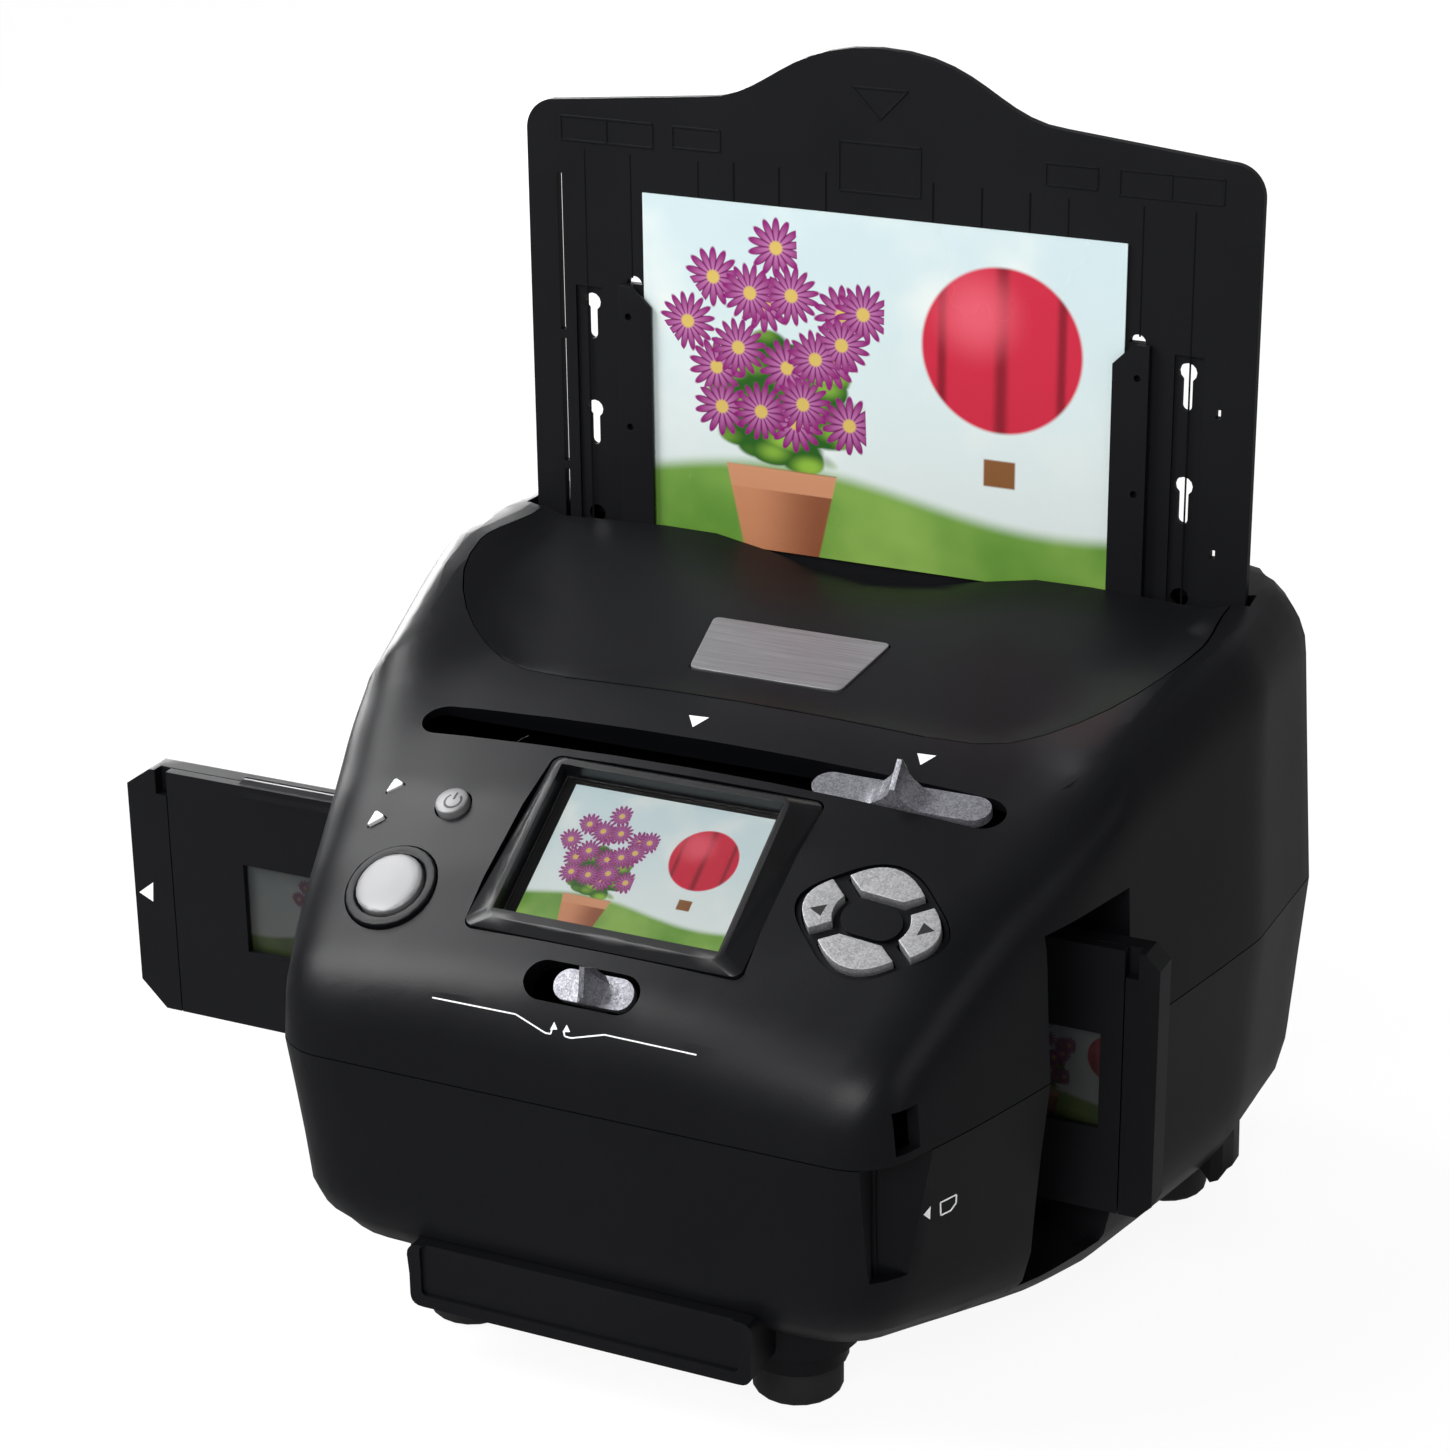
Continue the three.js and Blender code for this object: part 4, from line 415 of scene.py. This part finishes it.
# Feet: four round pads of black rubber, moulded, with a dull skin. Each is pushed into a round
# boss of the lower shell, and the scanner stands on them.
RUBBER = moulded("foot_rubber", (0.007, 0.007, 0.0075), (0.012, 0.012, 0.012), 0.62,
                 size=0.0003, depth=0.3)
for end in ("front", "rear"):
    for side in ("left", "right"):
        finished(f"foot_{end}_{side}", RUBBER, edge=0.4, spacing=6, reach=1.5)

# Brow: a scooped panel of glossier ABS, clipped into the top shell before the tray. A bare
# badge of brushed aluminium is glued into its middle.
BROW_BLACK = moulded("brow_black", (0.0048, 0.005, 0.0062), (0.0066, 0.0068, 0.0082), 0.46,
                     level=0.12, depth=0.06)
finished("brow_panel", BROW_BLACK, spacing=5, reach=6, form_of=filled_out)


def brushed(name, dark, light, roughness, stretch):
    """Metal drawn one way: streaks in colour and gloss."""
    spread = 0.08
    material, tree, shader = new_material(name)
    place = wire(tree, "ShaderNodeTexCoord")
    drawn = wire(tree, "ShaderNodeMapping", Vector=place.outputs["Object"], Scale=stretch)
    lines = wire(tree, "ShaderNodeTexNoise", Vector=drawn.outputs[0], Scale=1.0, Detail=3.0)
    colour = wire(tree, "ShaderNodeMix", {"data_type": "RGBA"}, i0=lines.outputs["Fac"],
                  i6=(*dark, 1), i7=(*light, 1))
    gloss = wire(tree, "ShaderNodeMapRange", i0=lines.outputs["Fac"], i3=roughness - spread,
                 i4=roughness + spread)
    tree.links.new(colour.outputs[2], shader.inputs["Base Color"])
    tree.links.new(gloss.outputs[0], shader.inputs["Roughness"])
    shader.inputs["Metallic"].default_value = 0.75
    return material


BADGE = brushed("badge_aluminium", (0.16, 0.16, 0.165), (0.4, 0.4, 0.41), 0.42,
                (60, 2500, 2500))
finished("badge_plate", BADGE, edge=0.25, spacing=6, reach=1)

# Display: a stepped bezel of black ABS round a clear window. Behind it a black mask frames
# the picture of the liquid crystal module, which shines.
BEZEL_BLACK = moulded("bezel_black", (0.0055, 0.0057, 0.007), (0.0075, 0.0077, 0.009), 0.3,
                      level=0.4, depth=0.05)
finished("display_bezel", BEZEL_BLACK, edge=0.2, spacing=8, reach=1.2)


PICTURE_ASPECT = 1.35


def picture_group():
    """A garden: a pot of magenta daisies before a pale sky, a hill and a red balloon. The place
    runs 0 to 1.35 across and 0 to 1 up."""
    balloon_x, balloon_y, pot_x = 1.02, 0.63, 0.4
    tree = bpy.data.node_groups.new("garden_picture", "ShaderNodeTree")
    tree.interface.new_socket("Place", in_out="INPUT", socket_type="NodeSocketVector")
    tree.interface.new_socket("Color", in_out="OUTPUT", socket_type="NodeSocketColor")
    given = tree.nodes.new("NodeGroupInput")
    result = tree.nodes.new("NodeGroupOutput")

    def sum_up(operation, first, second=0.0, third=0.0):
        made = wire(tree, "ShaderNodeMath", {"operation": operation}, i0=first, i1=second,
                    i2=third)
        return made.outputs[0]

    def over(mask, below, above):
        top = above if isinstance(above, bpy.types.NodeSocket) else (*above, 1)
        base = below if isinstance(below, bpy.types.NodeSocket) else (*below, 1)
        made = wire(tree, "ShaderNodeMix", {"data_type": "RGBA"}, i0=mask, i6=base, i7=top)
        return made.outputs[2]

    def soft(value, low, high):
        made = wire(tree, "ShaderNodeMapRange", {"interpolation_type": "SMOOTHSTEP"}, i0=value,
                    i1=low, i2=high, i3=0.0, i4=1.0)
        return made.outputs[0]

    split = wire(tree, "ShaderNodeSeparateXYZ", Vector=given.outputs["Place"])
    across, up = split.outputs["X"], split.outputs["Y"]

    def distance(x, y, flat=1.0):
        from_x = sum_up("SUBTRACT", across, x)
        from_y = sum_up("MULTIPLY", sum_up("SUBTRACT", up, y), flat)
        return sum_up("SQRT", sum_up("ADD", sum_up("MULTIPLY", from_x, from_x),
                                     sum_up("MULTIPLY", from_y, from_y)))

    haze = wire(tree, "ShaderNodeTexNoise", Vector=given.outputs["Place"], Scale=2.2,
                Detail=3.0)
    sky = over(soft(up, -0.3, 1.0), (0.84, 0.9, 0.86), (0.62, 0.76, 0.79))
    sky = over(soft(haze.outputs["Fac"], 0.45, 0.75), sky, (0.87, 0.91, 0.87))
    wave = sum_up("SINE", sum_up("MULTIPLY", across, 4.0))
    ridge = sum_up("MULTIPLY_ADD", wave, 0.05, 0.2)
    ground = soft(sum_up("SUBTRACT", ridge, up), -0.02, 0.03)
    grass = over(soft(haze.outputs["Fac"], 0.3, 0.7), (0.12, 0.3, 0.04), (0.3, 0.5, 0.1))
    colour = over(ground, sky, grass)
    ball = distance(balloon_x, balloon_y)
    aside = sum_up("SUBTRACT", across, balloon_x)
    round_ball = sum_up("ARCSINE", sum_up("MULTIPLY", aside, 4.3))
    ribs = sum_up("ABSOLUTE", sum_up("SINE", sum_up("MULTIPLY", round_ball, 4.0)))
    red = over(soft(ribs, 0.05, 0.5), (0.28, 0.005, 0.02), (0.62, 0.015, 0.05))
    red = over(soft(distance(0.95, 0.72), 0.16, 0.02), red, (0.8, 0.1, 0.15))
    colour = over(soft(ball, 0.226, 0.214), colour, red)
    basket = sum_up("MULTIPLY", soft(sum_up("ABSOLUTE", aside), 0.047, 0.04),
                    soft(sum_up("ABSOLUTE", sum_up("SUBTRACT", up, 0.3)), 0.04, 0.033))
    colour = over(basket, colour, (0.25, 0.1, 0.03))
    leaf_place = wire(tree, "ShaderNodeMapping", Vector=given.outputs["Place"],
                      Rotation=(0, 0, 0.7), Scale=(9, 16, 1))
    leaf = wire(tree, "ShaderNodeTexVoronoi", Vector=leaf_place.outputs[0], Scale=1.0)
    green = over(soft(leaf.outputs["Distance"], 0.1, 0.65), (0.28, 0.52, 0.05),
                 (0.02, 0.12, 0.01))
    bush = sum_up("ADD", distance(pot_x, 0.42, 1.1),
                  sum_up("MULTIPLY", leaf.outputs["Distance"], 0.1))
    colour = over(soft(bush, 0.27, 0.25), colour, green)
    bloom_place = wire(tree, "ShaderNodeVectorMath", {"operation": "MULTIPLY"},
                       i0=given.outputs["Place"], i1=(6.2, 6.2, 0.0))
    for shift, petals in ((0.0, 7.0), (0.47, 8.0)):
        moved = wire(tree, "ShaderNodeVectorMath", {"operation": "ADD"},
                     i0=bloom_place.outputs[0], i1=(shift, shift * 1.7, 0.0))
        cell = wire(tree, "ShaderNodeTexVoronoi", {"voronoi_dimensions": "2D"},
                    Vector=moved.outputs[0], Scale=1.0, Randomness=0.75)
        off = wire(tree, "ShaderNodeVectorMath", {"operation": "SUBTRACT"},
                   i0=moved.outputs[0], i1=cell.outputs["Position"])
        parts = wire(tree, "ShaderNodeSeparateXYZ", Vector=off.outputs[0])
        turn = sum_up("ARCTAN2", parts.outputs["Y"], parts.outputs["X"])
        frill = sum_up("ABSOLUTE", sum_up("SINE", sum_up("MULTIPLY", turn, petals)))
        edge = sum_up("MULTIPLY_ADD", frill, 0.2, 0.32)
        centre = wire(tree, "ShaderNodeVectorMath", {"operation": "DISTANCE"},
                      i0=cell.outputs["Position"], i1=(2.5 + shift, 3.5 + shift * 1.7, 0.0))
        inside = sum_up("MULTIPLY", soft(centre.outputs["Value"], 1.75, 1.74),
                        soft(sum_up("SUBTRACT", edge, cell.outputs["Distance"]), -0.01, 0.04))
        petal = over(soft(cell.outputs["Distance"], 0.1, 0.5), (0.5, 0.16, 0.4),
                     (0.26, 0.005, 0.16))
        petal = over(soft(frill, 0.0, 0.9), (0.16, 0.003, 0.1), petal)
        petal = over(soft(cell.outputs["Distance"], 0.14, 0.09), petal, (0.7, 0.5, 0.12))
        colour = over(inside, colour, petal)
    lean = sum_up("MULTIPLY_ADD", up, 0.22, 0.11)
    pot = sum_up("MULTIPLY", soft(sum_up("SUBTRACT", lean,
                                         sum_up("ABSOLUTE", sum_up("SUBTRACT", across, pot_x))),
                                  -0.004, 0.004), soft(up, 0.236, 0.228))
    clay = over(soft(across, 0.3, 0.52), (0.62, 0.26, 0.13), (0.28, 0.09, 0.04))
    clay = over(soft(sum_up("ABSOLUTE", sum_up("SUBTRACT", up, 0.2)), 0.032, 0.028), clay,
                (0.66, 0.3, 0.16))
    colour = over(pot, colour, clay)
    tree.links.new(colour, result.inputs["Color"])
    return tree


GARDEN = picture_group()


def display_picture():
    """The lit picture of the module, which leans back with the panel, in a black frame."""
    middle, width, tilt = at(0, -134.7, 118.7), 50 * MM, math.radians(32)
    half_across, half_up, margin = PICTURE_ASPECT / 2, 0.5, 0.0075
    material, tree, shader = new_material("display_picture")
    object_place = wire(tree, "ShaderNodeTexCoord")
    moved = wire(tree, "ShaderNodeVectorMath", {"operation": "SUBTRACT"},
                 i0=object_place.outputs["Object"], i1=tuple(middle))
    turned = wire(tree, "ShaderNodeVectorRotate", {"rotation_type": "X_AXIS"},
                  i0=moved.outputs[0], Angle=-tilt)
    sized = wire(tree, "ShaderNodeVectorMath", {"operation": "SCALE"}, i0=turned.outputs[0],
                 Scale=PICTURE_ASPECT / width)
    place = wire(tree, "ShaderNodeVectorMath", {"operation": "ADD"}, i0=sized.outputs[0],
                 i1=(half_across, half_up, 0.0)).outputs[0]
    picture = wire(tree, "ShaderNodeGroup", {"node_tree": GARDEN}, Place=place)
    split = wire(tree, "ShaderNodeSeparateXYZ", Vector=place)
    frame_x = wire(tree, "ShaderNodeMath", {"operation": "COMPARE"}, i0=split.outputs["X"],
                   i1=half_across, i2=half_across)
    frame_y = wire(tree, "ShaderNodeMath", {"operation": "COMPARE"}, i0=split.outputs["Y"],
                   i1=half_up, i2=half_up + margin)
    inside = wire(tree, "ShaderNodeMath", {"operation": "MULTIPLY"}, i0=frame_x.outputs[0],
                  i1=frame_y.outputs[0])
    shown = wire(tree, "ShaderNodeMix", {"data_type": "RGBA"}, i0=inside.outputs[0],
                 i6=(0.004, 0.004, 0.004, 1), i7=picture.outputs[0])
    tree.links.new(shown.outputs[2], shader.inputs["Emission Color"])
    shader.inputs["Emission Strength"].default_value = 0.95
    shader.inputs["Base Color"].default_value = (0.01, 0.01, 0.01, 1)
    shader.inputs["Roughness"].default_value = 0.3
    return material


def dress(material, *names):
    for name in names:
        mesh = nodes[name].data
        mesh.materials.clear()
        mesh.materials.append(material)


dress(display_picture(), "display_module")
CLEAR, clear_tree, clear_shader = new_material("clear_cover")
smear = wire(clear_tree, "ShaderNodeTexNoise", Scale=60.0, Detail=2.0)
smear_gloss = wire(clear_tree, "ShaderNodeMapRange", i0=smear.outputs["Fac"], i3=0.01, i4=0.06)
clear_tree.links.new(smear_gloss.outputs[0], clear_shader.inputs["Roughness"])
clear_shader.inputs["Transmission Weight"].default_value = 1.0
clear_shader.inputs["IOR"].default_value = 1.33
dress(CLEAR, "display_window", "lens_glass")

# Buttons: the start button in its ring, and the power button, are caps of ABS painted silver.
# Two white triangles beside them carry the light of their lamps. The power sign is printed
# in black on its cap.
SILVER = moulded("silver_paint", (0.2, 0.2, 0.205), (0.27, 0.27, 0.275), 0.42, size=0.0004,
                 depth=0.1)
SILVER.node_tree.nodes["Principled BSDF"].inputs["Metallic"].default_value = 0.3
finished("scan_ring", SHELL_BLACK, edge=0.25, spacing=5, reach=1.2)
finished("scan_button", SILVER, edge=0.3, spacing=3, reach=1.6)
finished("power_button", SILVER, edge=0.3, spacing=2, reach=1)
BLACK_INK = moulded("black_ink", (0.006, 0.006, 0.006), (0.01, 0.01, 0.01), 0.45, depth=0.05)
THIN_INK = 0.03
POWER_X, POWER_Y, POWER_LINE = -50.7, -129.5, 0.55
power_arc = [(POWER_X + 2.0 * math.sin(turn), POWER_Y + 1.85 * math.cos(turn))
             for turn in [math.radians(38 + 284 * i / 16) for i in range(17)]]
power_bar = [(POWER_X, -129.2), (POWER_X, -127.1)]
laid("power_sign", [*stroke(power_arc, POWER_LINE), *stroke(power_bar, POWER_LINE)],
     "power_button", BLACK_INK, lift=THIN_INK, cell=0.8, start=lambda x, y: at(x, y, 200),
     aim=Vector((0, 0, -1)))
LAMP = moulded("lamp_lens", (0.75, 0.75, 0.76), (0.88, 0.88, 0.88), 0.3)
finished("print_lamp_window", LAMP, edge=0.1, spacing=3, reach=0.4)
finished("film_lamp_window", LAMP, edge=0.1, spacing=3, reach=0.4)

# Key pad: four keys of ABS painted with silver flecks, in a black base that is sunk into the
# panel. The two side keys have black arrows printed on them.


def flecked(name, dark, light, roughness):
    """Silver paint with coarse flecks of aluminium, which glitter in its gloss."""
    spread = 0.1
    material, tree, shader = new_material(name)
    grain = wire(tree, "ShaderNodeGroup", {"node_tree": MOULDED_GRAIN}, Size=0.0007)
    place = wire(tree, "ShaderNodeTexCoord")
    flecks = wire(tree, "ShaderNodeTexVoronoi", Vector=place.outputs["Object"], Scale=2600.0)
    tone = wire(tree, "ShaderNodeSeparateColor", Color=flecks.outputs["Color"])
    colour = wire(tree, "ShaderNodeMix", {"data_type": "RGBA"}, i0=tone.outputs[0],
                  i6=(*dark, 1), i7=(*light, 1))
    gloss = wire(tree, "ShaderNodeMapRange", i0=tone.outputs[1], i3=roughness - spread,
                 i4=roughness + spread)
    relief = wire(tree, "ShaderNodeBump", Height=grain.outputs["Height"], Strength=0.15,
                  Distance=0.0002)
    tree.links.new(colour.outputs[2], shader.inputs["Base Color"])
    tree.links.new(gloss.outputs[0], shader.inputs["Roughness"])
    tree.links.new(relief.outputs[0], shader.inputs["Normal"])
    shader.inputs["Metallic"].default_value = 0.4
    return material


KEY_SILVER = flecked("key_silver", (0.28, 0.28, 0.29), (0.44, 0.44, 0.46), 0.46)
finished("key_pad_base", SHELL_BLACK, edge=0.2, spacing=5, reach=1)
for key in ("enter_key", "mode_key", "left_key", "right_key"):
    finished(key, KEY_SILVER, edge=0.25, spacing=3, reach=0.8)
laid("left_arrow", [[(809.6, 907.8), (820.3, 915.9), (827.4, 904.2)]], "left_key", BLACK_INK,
     lift=THIN_INK)
laid("right_arrow", [[(923.9, 922.8), (916.7, 935.4), (934.6, 931.0)]], "right_key", BLACK_INK,
     lift=THIN_INK)

# Sliders: finned knobs of ABS painted blue-grey silver, on arms that reach through the
# slots. The long one has a patch of grip dots at its right end.
KNOB_SILVER = flecked("knob_silver", (0.13, 0.13, 0.15), (0.27, 0.27, 0.3), 0.36)
finished("mode_knob", KNOB_SILVER, edge=0.35, spacing=4, reach=0.9)
finished("lens_knob", KNOB_SILVER, edge=0.3, spacing=4, reach=0.8)

# Works inside the housing: chassis and guides of black plastic, the lit carriage, the lens
# and the green boards. They show through the slots and in the side openings.
WORKS_BLACK = moulded("works_black", (0.006, 0.006, 0.0065), (0.01, 0.01, 0.011), 0.5)
dress(WORKS_BLACK, "chassis", "film_gate", "tray_guide_left", "tray_guide_right",
      "backlight_carriage", "lens_lever", "lens_barrel")
DIFFUSER = moulded("diffuser_white", (0.7, 0.7, 0.7), (0.8, 0.8, 0.8), 0.5)
dress(DIFFUSER, "light_panel")
STEEL = brushed("plain_steel", (0.4, 0.4, 0.42), (0.6, 0.6, 0.62), 0.35, (400, 400, 4000))
dress(STEEL, "case_screw_1", "case_screw_2", "case_screw_3", "case_screw_4", "lower_guide_rod",
      "upper_guide_rod", "holder_hinge_pin", "usb_socket", "card_socket")
BOARD = moulded("board_green", (0.01, 0.08, 0.04), (0.015, 0.12, 0.06), 0.4)
dress(BOARD, "control_board", "main_board", "sensor_board", "side_board")

# Print tray: a plate of black ABS that stands in the slot of the top. Its front is embossed
# with plain label frames, a mark for its middle and lines for the sizes of print.
TRAY_BLACK = moulded("tray_black", (0.006, 0.0062, 0.0076), (0.0082, 0.0084, 0.01), 0.45,
                     level=0.2)
finished("tray_plate", TRAY_BLACK, edge=0.35, spacing=9, reach=1)
finished("tray_rail_left", TRAY_BLACK, edge=0.25, spacing=9, reach=0.8)
finished("tray_rail_right", TRAY_BLACK, edge=0.25, spacing=9, reach=0.8)
TRAY_FACE = -1.2


def embossed(name, lines, width, height, material):
    """Low ridges with sloping sides on the tray's face. A dark one of no height is painted shade
    on a groove.
    """
    sunk, crest_share = 0.02, 0.5
    form = bmesh.new()
    for (x0, z0), (x1, z1) in lines:
        run = math.hypot(x1 - x0, z1 - z0)
        nx, nz = -(z1 - z0) / run * width / 2, (x1 - x0) / run * width / 2
        corners = [form.verts.new(at(x + s * nx * share, y, z + s * nz * share))
                   for y, share in ((TRAY_FACE + sunk, 1), (TRAY_FACE - height, crest_share))
                   for x, z in ((x0, z0), (x1, z1)) for s in (-1, 1)]
        for quad in ((0, 2, 6, 4), (4, 6, 7, 5), (3, 1, 5, 7), (1, 0, 4, 5), (2, 3, 7, 6),
                     (0, 1, 3, 2)):
            form.faces.new([corners[i] for i in quad])
    bmesh.ops.recalc_face_normals(form, faces=form.faces)
    linked_piece(name, mesh_of(form, name), material, "photo_tray")


def ring(points):
    return list(zip(points, points[1:] + points[:1]))


def frame_lines(x0, x1, z0, z1):
    return ring([(x0, z0), (x1, z0), (x1, z1), (x0, z1)])


label_lines = frame_lines(-10.6, 10.6, 240, 252) + ring([(0, 258), (7.2, 265.4), (-7.2, 265.4)])
for side in (-1, 1):
    label_lines += frame_lines(side * 60.8, side * 86.2, 245.6, 251.6)
    label_lines += frame_lines(side * 42.4, side * 55.3, 246.3, 251.5)
    label_lines.append(((side * 73.5, 245.6), (side * 73.5, 251.6)))
embossed("tray_labels", label_lines, 0.7, 0.25, TRAY_BLACK)
# Painted shade: the grooves of the size lines and the slits are flat near-black strips, which
# stand for the shade inside them.
GROOVE_SHADE = moulded("groove_shadow", (0.002, 0.002, 0.002), (0.003, 0.003, 0.003), 0.8, level=0.1)
GROOVE_HEIGHT = 0.03
groove_lines = [((x, 140), (x, 243.5)) for x in (-79.7, 79.7)]
groove_lines += [((x, 212), (x, 243.5)) for x in (-67, 67, -48.4, 48.4)]
embossed("tray_size_line_shade", groove_lines, 0.5, GROOVE_HEIGHT, GROOVE_SHADE)
slit_lines = [((x, 230), (x, 244)) for x in (-38.7, -26.5, -14, 14, 26.5, 38.7)]
embossed("tray_slit_shade", slit_lines, 0.7, GROOVE_HEIGHT, GROOVE_SHADE)


def standing_picture(name, corner, width, pitch, density_and_shade, low_gloss, high_gloss):
    """The garden on glossy paper or film, again at every pitch, in mm. The density_and_shade
    share
    darkens it towards near black: the film's own density, and painted shade in the holder's
    windows."""
    material, tree, shader = new_material(name)
    place = wire(tree, "ShaderNodeTexCoord")
    moved = wire(tree, "ShaderNodeVectorMath", {"operation": "SUBTRACT"},
                 i0=place.outputs["Object"], i1=tuple(corner))
    split = wire(tree, "ShaderNodeSeparateXYZ", Vector=moved.outputs[0])
    across = wire(tree, "ShaderNodeMath", {"operation": "MODULO"}, i0=split.outputs["X"],
                  i1=pitch * MM)
    flat = wire(tree, "ShaderNodeCombineXYZ", X=across.outputs[0], Y=split.outputs["Z"])
    sized = wire(tree, "ShaderNodeVectorMath", {"operation": "SCALE"}, i0=flat.outputs[0],
                 Scale=PICTURE_ASPECT / (width * MM))
    picture = wire(tree, "ShaderNodeGroup", {"node_tree": GARDEN}, Place=sized.outputs[0])
    dim = wire(tree, "ShaderNodeMix", {"data_type": "RGBA"}, i0=density_and_shade, i6=picture.outputs[0],
               i7=(0.012, 0.01, 0.009, 1))
    grain = wire(tree, "ShaderNodeGroup", {"node_tree": MOULDED_GRAIN}, Size=0.002)
    gloss = wire(tree, "ShaderNodeMapRange", i0=grain.outputs["Mottle"], i3=low_gloss,
                 i4=high_gloss)
    tree.links.new(dim.outputs[2], shader.inputs["Base Color"])
    tree.links.new(gloss.outputs[0], shader.inputs["Roughness"])
    return material


PRINT_WIDTH = 127
dress(standing_picture("print_picture", at(-PRINT_WIDTH / 2, 0, 145.3), PRINT_WIDTH,
                       2 * PRINT_WIDTH, 0.0, 0.2, 0.32), "tray_print")

# Film holder: a base and a lid of black ABS, hinged along the top by a steel pin. A strip of
# film lies between them, and its frames show dimly in the windows, darkened in colour for the
# film's density and with painted shade. The left end has a white arrow printed on it.
HOLDER_BLACK = moulded("holder_black", (0.0056, 0.0058, 0.0072), (0.0076, 0.0078, 0.0094), 0.46,
                       level=0.2)
finished("holder_base", HOLDER_BLACK, edge=0.3, spacing=9, reach=1)
finished("holder_lid", HOLDER_BLACK, edge=0.25, spacing=9, reach=1)
laid("holder_arrow", [[(139.5, 892.0), (153.3, 901.4), (153.3, 882.3)]], "holder_base",
     WHITE_INK)
# Painted shade: the film's colour is darkened most of the way to near black, for its density and
# for the shade in the windows.
FRAME_WIDTH, FRAME_PITCH, FILM_DENSITY_AND_SHADE = 36, 38, 0.93
dress(standing_picture("film_picture", at(-119, 0, 55), FRAME_WIDTH, FRAME_PITCH, FILM_DENSITY_AND_SHADE,
                       0.22, 0.35), "film_strip")
